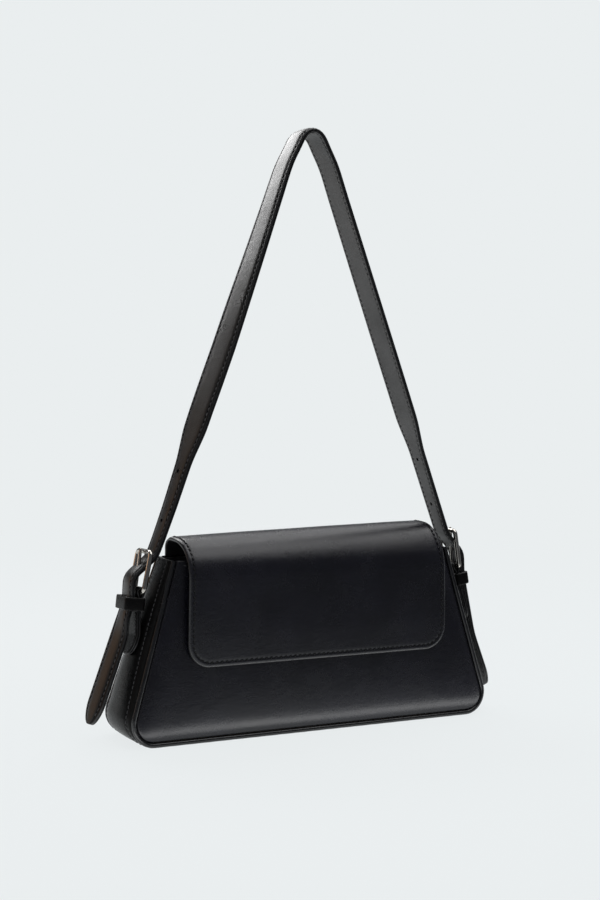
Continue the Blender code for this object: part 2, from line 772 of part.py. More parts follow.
def strap_route():
    """The middle of the strap's thickness, from the left tip over the shoulder to the right tip."""
    left = [Vector((-x, z)) for x, z in strap_corners("left")]
    right = [Vector((x, z)) for x, z in strap_corners("right")]
    spread = (right[0].x - left[0].x) / 2
    rise = STRAP_APEX_HEIGHT - (left[0].y + right[0].y) / 2
    extra = 0.0
    for _ in range(APEX_PASSES):
        half_angle = math.atan(spread / (rise + extra))
        extra = STRAP_APEX_RADIUS * (1 / math.sin(half_angle) - 1)
    apex = Vector((0.0, STRAP_APEX_HEIGHT + extra))
    corners = list(reversed(left)) + [apex] + right
    radii = [STRAP_TAIL_RADIUS, STRAP_SPLAY_RADIUS, STRAP_BULGE_RADIUS, STRAP_CROSSING_RADIUS]
    return Route(rounded(corners, radii + [STRAP_APEX_RADIUS] + list(reversed(radii))))


def prong_line(side):
    """Start and end of the prong's centreline, in (distance from the middle, height)."""
    bar = top_bar(side)
    pin = heel(side)
    along = (bar - pin).normalized()
    out = Vector((along.y, -along.x))
    rest = bar + out * (BAR_RADIUS + SEAT_GAP + PRONG_RADIUS)
    start = pin + out * PRONG_RADIUS
    direction = (rest - start).normalized()
    return start, rest + direction * PRONG_OVERHANG


def buckled_place(side):
    """Where the prong passes through the middle of the strap, in (x, z)."""
    start, end = prong_line(side)
    corners = strap_corners(side)
    a, b = corners[0], corners[1]
    run = b - a
    reach = end - start
    scale = (a - start).cross(run) / reach.cross(run)
    place = start + reach * scale
    return Vector((SIDES[side]["sign"] * place.x, place.y))


def hole_distances(route):
    """Distances of the holes, buckled ones first on each side."""
    found = {}
    for side, details in SIDES.items():
        buckled = route.distance_near(buckled_place(side))
        up = -details["sign"]
        found[side] = [buckled] + [buckled + up * HOLE_PITCH * k for k in range(1, HOLES_UP + 1)]
        found[side] += [buckled - up * HOLE_PITCH * k for k in range(1, HOLES_DOWN + 1)]
    return found


def strap_width(route, stop, buckled):
    """Narrow at the buckles, wide over the shoulder, drawn in to a rounded point at each tip."""
    from_tip = min(stop, route.total - stop)
    past_left = stop - buckled["left"][0]
    past_right = buckled["right"][0] - stop
    share = (min(past_left, past_right) - TAPER_FROM_HOLE) / TAPER_LENGTH
    share = min(max(share, 0.0), 1.0)
    width = STRAP_NARROW + (STRAP_WIDE - STRAP_NARROW) * share * share * (3 - 2 * share)
    if from_tip < STRAP_TIP_LENGTH:
        drop = 1 - from_tip / STRAP_TIP_LENGTH
        width = STRAP_TIP_WIDTH + (width - STRAP_TIP_WIDTH) * math.sqrt(1 - drop ** 1.6)
    return width


def tail_start(route, side):
    """The distance at which the tail leaves the keeper when that is slid down."""
    down, out = chape_axis(side)
    place = heel(side) + down * keeper_reach(side) + out * beside_chape()
    return route.distance_near(Vector((SIDES[side]["sign"] * place.x, place.y)))


def strap_twist(route, stop, holes):
    """How far the strap is turned about its own run, so that its outer face looks more to the front."""
    apex = route.distance_near(Vector((0.0, STRAP_APEX_HEIGHT)))
    side = "left" if stop < apex else "right"
    details = SIDES[side]
    hole = holes[side][0]
    past = (stop - hole) / (apex - hole)
    if past > 0:
        wave = max(math.sin(math.pi * past ** LEG_TWIST_LOW_POWER), 0.0)
        return details["leg_twist"] * wave ** LEG_TWIST_PEAK_POWER
    share = min(max((stop - tail_start(route, side)) * details["sign"] / TAIL_TWIST_RUN, 0.0), 1.0)
    return details["tail_twist"] * share * share * (3 - 2 * share)


def strap_stops(route, holes):
    extra = [STRAP_TIP_LENGTH * (k / TIP_STEPS) ** 2 for k in range(1, TIP_STEPS + 1)]
    extra += [route.total - d for d in extra]
    for side, details in SIDES.items():
        up = -details["sign"]
        start = holes[side][0] + up * TAPER_FROM_HOLE
        extra += [start + up * TAPER_LENGTH * k / 4 for k in range(5)]
        start = tail_start(route, side)
        extra += [start - up * TAIL_TWIST_RUN * k / TWIST_STEPS for k in range(TWIST_STEPS + 1)]
    return route.stops(STRAP_STEP, extra)


def make_strap(parent):
    """The outer leather with its padded middle, and the lining under it."""
    route = strap_route()
    holes = hole_distances(route)
    outer_rings = []
    lining_rings = []
    for stop in strap_stops(route, holes):
        place = route.at(stop)
        along = route.direction(stop)
        middle = Vector((place.x, 0.0, place.y))
        flat = Vector((-along.y, 0.0, along.x))
        twist = strap_twist(route, stop, holes)
        out = flat * math.cos(twist) - Vector((0.0, math.sin(twist), 0.0))
        across = flat * math.sin(twist) + Vector((0.0, math.cos(twist), 0.0))
        width = strap_width(route, stop, holes)
        half = across * width / 2
        margin = min(STRAP_CROWN_MARGIN, width / 3)
        crown_half = across * (width / 2 - margin)
        low = -STRAP_HALF + STRAP_LINING + STRAP_LAYER_GAP
        edge = low + STRAP_OUTER
        top = edge + STRAP_CROWN
        outer_rings.append([
            middle + out * low - half,
            middle + out * low,
            middle + out * low + half,
            middle + out * edge + half,
            middle + out * top + crown_half,
            middle + out * top - crown_half,
            middle + out * edge - half,
        ])
        under = -STRAP_HALF
        over = under + STRAP_LINING
        lining_rings.append([
            middle + out * under - half,
            middle + out * under,
            middle + out * under + half,
            middle + out * over + half,
            middle + out * over,
            middle + out * over - half,
        ])
    outer = sweep("strap_outer", outer_rings, "strap", parent, pose=strap_pose())
    lining = sweep("strap_lining", lining_rings, "strap", parent, pose=strap_pose())
    for side in SIDES:
        cut_holes(side, route, holes[side], outer, lining, parent)
    return route


def cut_holes(side, route, distances, outer, lining, parent):
    length = 2 * (2 * STRAP_HALF + CUT_OVERRUN)
    for number, distance in enumerate(distances):
        place = route.at(distance)
        along = route.direction(distance)
        axis = Vector((-along.y, 0.0, along.x))
        radius = HOLE_RADIUS
        reach = length
        if number == 0:
            start, end = prong_line(side)
            sign = SIDES[side]["sign"]
            axis = Vector((sign * (end.x - start.x), 0.0, end.y - start.y))
            radius = PRONG_RADIUS + SEAT_GAP
            reach = length * 1.5
            buckled = buckled_place(side)
            place = buckled
        centre = Vector((place.x, 0.0, place.y))
        cutter = cylinder(f"hole_{side}_{number}", centre, axis, radius, reach, "edge", parent,
                          sides=HOLE_SIDES, pose=strap_pose())
        cut(outer, cutter)
        cut(lining, cutter)


def lift(side, place, y=0.0):
    """From (distance from the middle, height) to a point in the bag's frame."""
    return Vector((SIDES[side]["sign"] * place.x, y, place.y))


def make_buckle_frame(side, parent):
    pin = heel(side)
    bar = top_bar(side)
    half_width = BUCKLE_INNER_WIDTH / 2 + BAR_RADIUS
    along = (bar - pin).normalized()
    middle = (bar + pin) / 2
    loop = rounded_rectangle(BUCKLE_LENGTH / 2, half_width, BUCKLE_CORNER_RADIUS)
    centres = [(middle + along * a, y) for a, y in loop]
    points = [lift(side, place, y) for place, y in centres]
    normal = lift(side, Vector((along.y, -along.x)))
    rings = []
    for i, point in enumerate(points):
        ahead = points[(i + 1) % len(points)] - points[i - 1]
        across = normal.cross(ahead.normalized())
        ring = []
        for k in range(TUBE_SIDES):
            turn = math.tau * k / TUBE_SIDES
            ring.append(point + (normal * math.cos(turn) + across * math.sin(turn)) * BAR_RADIUS)
        rings.append(ring)
    return sweep(f"buckle_frame_{side}", rings, "metal", parent, loop=True, sharp=math.pi,
                 pose=strap_pose())


def make_prong(side, parent):
    """A loop round the heel bar and a straight tapering tongue up to the top bar."""
    pin = heel(side)
    start, end = prong_line(side)
    inner = BAR_RADIUS + SEAT_GAP
    outer = inner + PRONG_LOOP_THICKNESS
    rings = []
    for k in range(ROUND_SIDES):
        turn = math.tau * k / ROUND_SIDES
        out = Vector((math.cos(turn), math.sin(turn)))
        ring = []
        for radius, y in ((inner, -1), (outer, -1), (outer, 1), (inner, 1)):
            ring.append(lift(side, pin + out * radius, y * PRONG_LOOP_WIDTH / 2))
        rings.append(ring)
    loop = sweep(f"prong_{side}", rings, "metal", parent, loop=True, pose=strap_pose())
    direction = (end - start).normalized()
    across = Vector((direction.y, -direction.x))
    first = inner + PRONG_LOOP_THICKNESS / 2
    length = (end - start).length
    rod = []
    for reach, radius in ((first, PRONG_RADIUS), (length - 3 * PRONG_OVERHANG, PRONG_RADIUS),
                          (length - PRONG_OVERHANG / 3, PRONG_RADIUS * 0.85), (length, PRONG_TIP_RADIUS)):
        ring = []
        for k in range(TUBE_SIDES):
            turn = math.tau * k / TUBE_SIDES
            place = start + direction * reach + across * (radius * math.cos(turn))
            ring.append(lift(side, place, radius * math.sin(turn)))
        rod.append(ring)
    tongue = sweep(f"tongue_{side}", rod, "metal", parent, pose=strap_pose())
    union = loop.modifiers.new("tongue", "BOOLEAN")
    union.operation = "UNION"
    union.object = tongue
    hide_cutter(tongue)
    return loop


def chape_seat(height):
    """The middle between the chape's two layers where it lies on the gusset."""
    bulge = bulge_at(height) * math.cos(SIDE_LEAN) ** 2
    seat = side_at(height) + (bulge + SEAT_GAP) / math.cos(SIDE_LEAN)
    return Vector((seat + CHAPE_THICKNESS + SEAT_GAP, height))


def chape_axis(side):
    """Unit vectors along the chape, down from the heel bar, and out from the bag."""
    pin = heel(side)
    down = (chape_seat(pin.y - CHAPE_FREE_LENGTH) - pin).normalized()
    return down, Vector((-down.y, down.x))


def chape_middle(side, length):
    """The middle between the layers: straight down from the bar, then on the gusset."""
    pin = heel(side)
    free = (chape_seat(pin.y - CHAPE_FREE_LENGTH) - pin).length
    if length <= free:
        return pin + chape_axis(side)[0] * length
    return chape_seat(pin.y - CHAPE_FREE_LENGTH - (length - free))


def chape_spread(length):
    """Half the distance between the middles of the chape's two layers, below the heel bar."""
    wrap = BAR_RADIUS + SEAT_GAP + CHAPE_THICKNESS / 2
    apart = (SEAT_GAP + CHAPE_THICKNESS) / 2
    share = min(max(1 - length / CHAPE_JOIN, 0.0), 1.0)
    return apart + (wrap - apart) * share * share * (3 - 2 * share)


def keeper_reach(side):
    """How far below the heel bar the keeper's lower edge comes when it is slid down."""
    return SIDES[side]["keeper_drop"] + KEEPER_HEIGHT / 2 + KEEPER_TRAVEL


def chape_width(side, length):
    """The strip widens below the keeper and ends in a half circle."""
    low = keeper_reach(side)
    share = min(max((length - low) / (CHAPE_FREE_LENGTH - low), 0.0), 1.0)
    width = CHAPE_WIDTH + (CHAPE_END_WIDTH - CHAPE_WIDTH) * share
    radius = CHAPE_END_WIDTH / 2
    into = length - (CHAPE_LENGTH - radius)
    if into > 0:
        width = min(width, 2 * math.sqrt(max(radius ** 2 - into ** 2, STRAP_TIP_WIDTH ** 2 / 4)))
    return width


def make_chape(side, parent):
    """One strip folded round the heel bar, with both round ends sewn to the gusset."""
    pin = heel(side)
    down, out = chape_axis(side)
    wrap = chape_spread(0.0)
    lengths = [CHAPE_LENGTH - CHAPE_END_WIDTH / 2 * (1 - math.sin(math.pi / 2 * k / CHAPE_END_STEPS))
               for k in range(CHAPE_END_STEPS, -1, -1)]
    lengths += [CHAPE_FREE_LENGTH, keeper_reach(side)]
    lengths += [CHAPE_JOIN * (1 - k / 4) for k in range(4)]
    layers = {}
    for facing in (1, -1):
        layers[facing] = []
        for length in lengths:
            before = chape_middle(side, length - SEAT_GAP)
            after = chape_middle(side, length + SEAT_GAP)
            along = (after - before).normalized()
            across = Vector((-along.y, along.x)) * facing
            layers[facing].append((chape_middle(side, length) + across * chape_spread(length),
                                   chape_width(side, length)))
    stations = layers[1]
    for k in range(9):
        turn = math.pi * k / 8
        stations.append((pin + (out * math.cos(turn) - down * math.sin(turn)) * wrap, CHAPE_WIDTH))
    stations += reversed(layers[-1])
    rings = []
    for i, (place, width) in enumerate(stations):
        before = stations[max(i - 1, 0)][0]
        after = stations[min(i + 1, len(stations) - 1)][0]
        along = (after - before).normalized()
        normal = Vector((-along.y, along.x)) * CHAPE_THICKNESS / 2
        rings.append([
            lift(side, place + normal, -width / 2),
            lift(side, place + normal, width / 2),
            lift(side, place - normal, width / 2),
            lift(side, place - normal, -width / 2),
        ])
    strip = sweep(f"chape_{side}", rings, "leather", parent, pose=strap_pose())
    reach = wrap + CHAPE_THICKNESS + CUT_OVERRUN
    slot_middle = pin + down * (CHAPE_SLOT_DEPTH - reach) / 2
    half = (CHAPE_SLOT_DEPTH + reach) / 2
    slot = []
    for a in (-half, half):
        ring = []
        for b, y in ((-reach, -1), (-reach, 1), (reach, 1), (reach, -1)):
            ring.append(lift(side, slot_middle + down * a + out * b, y * CHAPE_SLOT_WIDTH / 2))
        slot.append(ring)
    cut(strip, sweep(f"chape_slot_{side}", slot, "leather", parent, pose=strap_pose()))
    return strip


def keeper_centre(side):
    down, _ = chape_axis(side)
    return heel(side) + down * SIDES[side]["keeper_drop"]


def strap_face_beside(side, top, low):
    """How far the strap's outer face stands out from the chape's middle, from top to low under the heel bar."""
    down, out = chape_axis(side)
    pin = heel(side)
    sign = SIDES[side]["sign"]
    route = strap_route()
    middle = pin + down * (top + low) / 2 + out * beside_chape()
    near = route.distance_near(Vector((sign * middle.x, middle.y)))
    far = 0.0
    for k in range(-KEEPER_SAMPLES, KEEPER_SAMPLES + 1):
        stop = near + (low - top) * k / KEEPER_SAMPLES
        place = route.at(stop)
        along = route.direction(stop)
        face = place + Vector((-along.y, along.x)) * STRAP_HALF
        beside = Vector((sign * face.x, face.y)) - pin
        if top <= beside.dot(down) <= low:
            far = max(far, beside.dot(out))
    return far


def make_keeper(side, parent):
    """A leather loop that holds the strap's tail against the chape."""
    down, out = chape_axis(side)
    centre = keeper_centre(side)
    top_drop = SIDES[side]["keeper_drop"] - KEEPER_HEIGHT / 2
    half_y = max(STRAP_NARROW, CHAPE_WIDTH) / 2 + KEEPER_ROOM
    into = max(KEEPER_CORNER_RADIUS - (half_y - CHAPE_WIDTH / 2), 0.0)
    corner = KEEPER_CORNER_RADIUS - math.sqrt(KEEPER_CORNER_RADIUS ** 2 - into ** 2)
    near = -(chape_spread(top_drop) + CHAPE_THICKNESS / 2 + SEAT_GAP + corner)
    far = strap_face_beside(side, top_drop, keeper_reach(side)) + KEEPER_ROOM
    half_x = (far - near) / 2
    middle = centre + out * (far + near) / 2
    loops = {}
    for grow in (0.0, KEEPER_THICKNESS):
        loops[grow] = rounded_rectangle(half_x + grow, half_y + grow, KEEPER_CORNER_RADIUS + grow)
    rings = []
    for i in range(len(loops[0.0])):
        ring = []
        for end, grow in ((-1, 0.0), (-1, KEEPER_THICKNESS), (1, KEEPER_THICKNESS), (1, 0.0)):
            across, y = loops[grow][i]
            ring.append(lift(side, middle + out * across + down * (end * KEEPER_HEIGHT / 2), y))
        rings.append(ring)
    return sweep(f"keeper_{side}", rings, "leather", parent, loop=True, pose=strap_pose())


def build():
    clear_scene()
    bag = empty_at("bag_frame", (0.0, 0.0, 0.0))
    flap = empty_at("flap_axis", hinge_place())
    swing = empty_at("strap_axis", (0.0, 0.0, TAB_ROOT_HEIGHT))

    panel("front_panel", -1, FRONT_CROWN, bag)
    panel("back_panel", 1, BACK_CROWN, bag)
    make_gusset(bag)
    make_piping("front_piping", -1, bag)
    make_piping("back_piping", 1, bag)
    make_lining_panel("lining_front", -1, bag)
    make_lining_panel("lining_back", 1, bag)
    make_lining_gusset(bag)
    make_base_board(bag)
    make_slip_pocket(bag)
    make_flap_root(bag)

    flap_sheet("flap_outer", 0.0, FLAP_LEATHER, 0.0, "leather", flap)
    flap_sheet("flap_lining", FLAP_LEATHER + SEAT_GAP, FLAP_LINING, FLAP_LINING_INSET, "cloth", flap)
    make_snap(bag, flap)

    make_strap(swing)
    for side in SIDES:
        make_buckle_frame(side, swing)
        make_prong(side, swing)
        make_chape(side, bag)
        make_keeper(side, empty_at(f"keeper_slide_{side}", strap_pose() @ lift(side, keeper_centre(side))))


build()
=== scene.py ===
import bisect
import random
from math import atan, ceil, cos, pi, prod, radians, sin, sqrt, tan, tau

import bmesh
import bpy
from mathutils import Matrix, Vector, noise


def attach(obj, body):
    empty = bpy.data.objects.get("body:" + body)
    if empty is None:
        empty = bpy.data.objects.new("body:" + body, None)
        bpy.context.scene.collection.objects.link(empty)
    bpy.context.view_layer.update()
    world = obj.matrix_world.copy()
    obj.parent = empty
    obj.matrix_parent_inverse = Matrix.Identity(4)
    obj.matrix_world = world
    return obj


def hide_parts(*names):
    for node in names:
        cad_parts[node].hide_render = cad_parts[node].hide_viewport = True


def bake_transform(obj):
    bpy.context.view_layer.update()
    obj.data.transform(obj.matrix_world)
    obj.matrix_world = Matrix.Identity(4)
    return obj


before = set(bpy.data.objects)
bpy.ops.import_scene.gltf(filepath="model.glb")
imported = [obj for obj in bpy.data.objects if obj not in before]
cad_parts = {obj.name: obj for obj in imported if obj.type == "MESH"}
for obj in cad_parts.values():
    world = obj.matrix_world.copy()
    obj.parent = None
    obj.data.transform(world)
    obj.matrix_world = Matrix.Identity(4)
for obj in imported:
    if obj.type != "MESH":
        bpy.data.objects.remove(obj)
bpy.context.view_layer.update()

# Sizes of the solids and of their details, in metres
BASE_WIDTH, TOP_WIDTH, BODY_HEIGHT = 0.266, 0.1997, 0.1115
BASE_DEPTH, TOP_DEPTH = 0.0468, 0.0256
CORNER_RADIUS = 0.015
PIPING_RADIUS, PIPING_UNEVEN = 0.0015, 0.035
SEAM_INSET = 0.0033
FRONT_CROWN, BACK_CROWN = 0.0018, 0.0014
PANEL_ROLL, PANEL_ROLL_WIDTH = 0.0022, 0.0110
PANEL_THICKNESS, PANEL_SWELL = 0.0018, 0.00035
TOP_STITCH_DROP, TOP_STITCH_END = 0.0026, 0.003
GUSSET_BULGE, BULGE_END, BULGE_LOW, BULGE_BOX = 0.0050, 0.12, 0.8, 2.6
SEAT_GAP = 0.0003
FACES = ((-1, "front"), (1, "back"))
GUSSET_THICKNESS, GUSSET_STITCH_INSET = 0.0016, 0.0038
LINING_TOP_DROP, LINING_FLOOR, LINING_INSET, LINING_CLOTH = 0.0010, 0.0039, 0.0024, 0.0006
HEM_SIDE, HEM_INSET, HEM_DROP = 0.006, 0.0036, 0.004
POCKET_WIDTH, POCKET_HEIGHT, POCKET_DEPTH, POCKET_FLOOR = 0.110, 0.055, 0.0076, 0.030
POCKET_SEAT, POCKET_LEAST, POCKET_CLOTH = 0.0036, 0.0012, 0.0009

FLAP_WIDTH, FLAP_BOTTOM, FLAP_TOP = 0.1855, 0.0470, 0.1250
FLAP_BOTTOM_REACH, FLAP_SHOULDER_REACH = 0.0246, 0.0228
FLAP_FRONT_RADIUS, FLAP_BACK_RADIUS, FLAP_CORNER = 0.0240, 0.0080, 0.015
FLAP_BACK_LEAN, FLAP_LIFT, FLAP_SKEW, FLAP_EASE = 0.0010, 0.0007, 0.0020, 0.0026
FLAP_LEATHER, FLAP_LAMINATE, FLAP_SKIN = 0.0014, 0.0026, 0.0011
FLAP_SKIVE, FLAP_FIRM, FLAP_STEP, FLAP_STITCH_INSET = 0.012, 0.02, 0.0024, 0.0031
FLAP_ROOT, HINGE_RISE = 0.0200, 0.0020
SNAP_HEIGHT, SNAP_RADIUS, WASHER_RADIUS, SNAP_THICKNESS = 0.0690, 0.0075, 0.0060, 0.0008

STRAP_NARROW, STRAP_WIDE = 0.0150, 0.0215
STRAP_OUTER, STRAP_CROWN, STRAP_LINING, LAYER_GAP = 0.0014, 0.0007, 0.0011, 0.0003
STRAP_HALF = (STRAP_OUTER + STRAP_CROWN + LAYER_GAP + STRAP_LINING) / 2
APEX_HEIGHT, APEX_RADIUS = 0.3788, 0.012
STRAP_LEAN = radians(2.9)
TAIL_RADIUS, SPLAY_RADIUS, BULGE_RADIUS, CROSSING_RADIUS = 0.060, 0.016, 0.012, 0.012
TIP_LENGTH, TIP_WIDTH, TIP_STEPS, STRAP_STEP = 0.013, 0.0012, 11, 0.0026
TAPER_FROM_HOLE, TAPER_LENGTH = 0.067, 0.028
HOLE_RADIUS, HOLE_PITCH, WORN_SHUT = 0.0017, 0.032, 0.7
HOLE_CUT, PRONG_CUT = 0.012, 0.018
BAR_RADIUS, BUCKLE_LENGTH, BUCKLE_INNER = 0.0015, 0.0245, 0.0166
BUCKLE_CORNER = 0.0027
PRONG_RADIUS, PRONG_OVERHANG = 0.0011, 0.0015
LOOP_WIDTH, LOOP_THICKNESS = 0.0028, 0.0012
CHAPE_THICKNESS, CHAPE_WIDTH, CHAPE_END = 0.0013, 0.0138, 0.0190
CHAPE_LENGTH, CHAPE_FREE, CHAPE_JOIN = 0.0385, 0.0260, 0.0040
CHAPE_STEP, CHAPE_STITCH_INSET, CHAPE_STITCH_END = 0.0009, 0.0020, 0.008
SLOT_REACH, SLOT_END, SLOT_HALF, CHAPE_TIP = 0.006, 0.0038, 0.0020, 0.0012
KEEPER_HEIGHT, KEEPER_THICKNESS, KEEPER_TRAVEL = 0.0082, 0.0011, 0.0030
KEEPER_CORNER, KEEPER_ROOM = 0.0016, 0.0003
TAB_ROOT = 0.0585
BULGE_RISE, BULGE_REACH, SPLAY_DROP = 0.0084, 0.0012, 0.0070
TWIST_LOW, TWIST_PEAK, TAIL_TWIST_RUN = 0.85, 2.2, 0.0160
TAIL_DRAWN, HOLE_DRAWN, HOLE_DRAWN_RUN = 0.0055, 0.0008, 0.008
SIDES = {
    "left": {"sign": -1, "heel": (0.1166, 0.0922), "tilt": radians(12), "keeper": 0.0074,
             "stand": 0.0018, "bend": (0.1373, 0.0457), "tip": (0.1490, 0.0138),
             "leg_twist": radians(13.5), "tail_twist": radians(15)},
    "right": {"sign": 1, "heel": (0.1131, 0.0968), "tilt": radians(9), "keeper": 0.0088,
              "stand": 0.0006, "bend": (0.1270, 0.0510), "tip": (0.14155, 0.0142),
              "leg_twist": radians(-3), "tail_twist": 0.0},
}
DRAWN_IN = ((0.0, 0.0008), (0.03, 0.0014), (0.07, 0.0018), (0.14, 0.0019), (0.25, 0.0013), (0.35, 0.0011),
            (0.49, 0.0014), (0.57, 0.0011), (0.71, 0.0007), (0.85, 0.0001), (1.0, 0.0))
SIDE_LEAN = atan((BASE_WIDTH - TOP_WIDTH) / 2 / BODY_HEIGHT)
FACE_LEAN = atan((BASE_DEPTH - TOP_DEPTH) / 2 / BODY_HEIGHT)
THREAD_RADIUS, FINE_THREAD, STITCH_LENGTH = 0.00027, 0.00016, 0.0021
STITCH_PITCH, COARSE_PITCH, STRAP_STITCH_INSET = 0.0030, 0.0034, 0.0021
STITCH_SECTIONS = ((-0.5, -0.9, 0.55), (-0.42, -0.1, 0.95), (-0.2, 0.35, 1.0), (0.2, 0.35, 1.0),
                   (0.42, -0.1, 0.95), (0.5, -0.9, 0.55))
CORNER_STEPS = 12
STITCH_SEED = 7
random.seed(STITCH_SEED)


# Materials


class Graph:
    """Short ways to add and join shader nodes."""

    def __init__(self, tree):
        self.tree = tree

    def add(self, kind, inputs=None, **values):
        """A node with its settings. An input gets a value, or is joined to another node's output."""
        node = self.tree.nodes.new("ShaderNode" + kind)
        for key, value in values.items():
            setattr(node, key, value)
        for key, value in (inputs or {}).items():
            if isinstance(value, bpy.types.NodeSocket):
                self.tree.links.new(value, node.inputs[key])
            else:
                node.inputs[key].default_value = value
        return node

    def spread(self, value, low, high, start=0.0, end=1.0, **values):
        inputs = {"Value": value, "From Min": start, "From Max": end, "To Min": low, "To Max": high}
        return self.add("MapRange", inputs, **values).outputs["Result"]

    def sums(self, a, b, operation="ADD"):
        return self.add("Math", {0: a, 1: b}, operation=operation).outputs[0]

    def mixed(self, factor, first, second):
        return self.add("MixShader", {"Fac": factor, 1: first, 2: second}).outputs[0]

    def paths(self):
        return self.add("LightPath").outputs


class Nodes(Graph):
    """A material with its Principled shader, and textures in the object's own coordinates."""

    def __init__(self, name):
        self.material = bpy.data.materials.new(name)
        self.material.use_nodes = True
        super().__init__(self.material.node_tree)
        self.shader = self.tree.nodes["Principled BSDF"]
        self.place = self.add("TexCoord").outputs["Object"]

    def noise(self, scale, detail=3.0, rough=0.5, stretch=None):
        place = self.mapped("Scale", stretch) if stretch else self.place
        inputs = {"Scale": scale, "Detail": detail, "Roughness": rough, "Vector": place}
        return self.add("TexNoise", inputs).outputs["Fac"]

    def mapped(self, key, value):
        return self.add("Mapping", {key: value, "Vector": self.place}).outputs["Vector"]

    def wave(self, scale, direction, distortion=0.0, place=None):
        inputs = {"Scale": scale, "Distortion": distortion, "Vector": place or self.place}
        return self.add("TexWave", inputs, bands_direction=direction).outputs["Fac"]

    def tones(self, value, dark, light):
        ramp = self.add("ValToRGB", {"Fac": value})
        for stop, colour in zip(ramp.color_ramp.elements, (dark, light)):
            stop.color = (*colour, 1)
        return ramp.outputs["Color"]

    def worn(self, colour, pale, amount):
        """Mixes in a paler tone where the mesh says that an edge is rubbed."""
        wear = self.add("Attribute", attribute_name="wear").outputs["Fac"]
        patchy = self.sums(wear, self.spread(self.noise(900, 4), 0.2, 1.0, 0.35, 0.65), "MULTIPLY")
        inputs = {"Factor": self.sums(patchy, amount, "MULTIPLY"), "A": colour, "B": (*pale, 1)}
        return self.add("Mix", inputs, data_type="RGBA").outputs["Result"]

    def bump(self, *layers):
        """Layers are (height, distance, strength), each on top of the one before."""
        inputs = {}
        for height, distance, strength in layers:
            inputs.update({"Strength": strength, "Distance": distance, "Height": height})
            inputs["Normal"] = self.add("Bump", inputs).outputs["Normal"]
        self.tree.links.new(inputs["Normal"], self.shader.inputs["Normal"])

    def finish(self, colour, roughness, **numbers):
        self.tree.links.new(colour, self.shader.inputs["Base Color"])
        self.tree.links.new(roughness, self.shader.inputs["Roughness"])
        for key, value in numbers.items():
            self.shader.inputs[key.replace("_", " ")].default_value = value
        return self.material


def tint(colour, factor):
    return tuple(c * factor for c in colour)


def leather(name, colour, rough, gloss=0.35, grain=1.0, pale=(0.09, 0.085, 0.08)):
    """Smooth calf: fine pores, faint creases, cloudy dye and rubbed edges."""
    n = Nodes(name)
    shade = n.tones(n.spread(n.noise(28, 3), 0.0, 1.0, 0.3, 0.7), tint(colour, 0.72), tint(colour, 1.3))
    shade = n.worn(shade, pale, 0.5)
    dull = n.sums(n.spread(n.noise(60, 4), -0.05, 0.06, 0.3, 0.7), n.spread(n.noise(1500, 2), -0.06, 0.06))
    cells = n.add("TexVoronoi", {"Scale": 1500, "Vector": n.place}, feature="DISTANCE_TO_EDGE")
    n.bump((n.spread(cells.outputs["Distance"], 0.0, 1.0, 0.0, 0.25), 0.00006, 0.45 * grain),
           (n.noise(1100, 4, 0.55), 0.00014, 0.55 * grain),
           (n.noise(160, 5, 0.6, (1.0, 1.0, 2.2)), 0.00026, 0.45 * grain))
    return n.finish(shade, n.sums(dull, rough), Specular_IOR_Level=gloss)


def edge_paint(name, colour=(0.006, 0.006, 0.0065)):
    """Painted edges: thick semi-gloss paint, a little uneven."""
    n = Nodes(name)
    shade = n.tones(n.noise(300, 3), tint(colour, 0.8), tint(colour, 1.6))
    shade = n.worn(shade, (0.10, 0.095, 0.09), 0.35)
    n.bump((n.noise(420, 3), 0.00012, 0.5), (n.noise(2200, 2), 0.00004, 0.4))
    return n.finish(shade, n.spread(n.noise(200, 2), 0.24, 0.36), Specular_IOR_Level=0.5)


def cloth(name, colour):
    """Fine twill."""
    n = Nodes(name)
    twill = n.wave(420, "X", 0.6, n.mapped("Rotation", (radians(35), radians(40), 0)))
    yarn = n.sums(twill, n.wave(600, "Z", 0.4), "MULTIPLY")
    shade = n.tones(n.sums(yarn, n.spread(n.noise(90, 4), -0.2, 0.2)), tint(colour, 0.6), tint(colour, 1.4))
    n.bump((yarn, 0.00012, 0.7), (n.noise(70, 3), 0.0006, 0.3))
    return n.finish(shade, n.spread(n.noise(700, 2), 0.78, 0.95), Sheen_Weight=0.25, Sheen_Roughness=0.45)


def fibre_board(name):
    n = Nodes(name)
    fibres = n.noise(500, 6, 0.7, (1.0, 5.0, 1.0))
    shade = n.tones(fibres, (0.13, 0.11, 0.085), (0.30, 0.265, 0.21))
    n.bump((fibres, 0.0001, 0.6))
    return n.finish(shade, n.spread(n.noise(90, 2), 0.85, 0.97))


def thread(name, colour=(0.032, 0.032, 0.034), gloss=0.5):
    """Waxed thread with its twist. The default colour is lifted to dark grey, partly a painted highlight that
    makes stitches read as light dots.
    """
    n = Nodes(name)
    twist = n.wave(2600, "DIAGONAL", 1.2)
    shade = n.tones(twist, tint(colour, 0.6), tint(colour, 1.9))
    n.bump((twist, 0.00006, 0.8))
    return n.finish(shade, n.spread(n.noise(900, 2), 0.38, 0.6), Specular_IOR_Level=gloss)


def plated(name):
    """Polished plating with hairlines and a little dulling."""
    n = Nodes(name)
    smears = n.noise(240, 4)
    shade = n.tones(smears, (0.46, 0.43, 0.39), (0.64, 0.62, 0.58))
    hair = n.noise(500, 3, 0.6, (1.0, 14.0, 1.0))
    n.bump((hair, 0.00001, 0.25), (n.noise(180, 2), 0.00006, 0.15))
    return n.finish(shade, n.sums(n.spread(smears, 0.10, 0.2), n.spread(hair, 0.0, 0.08)), Metallic=1.0)


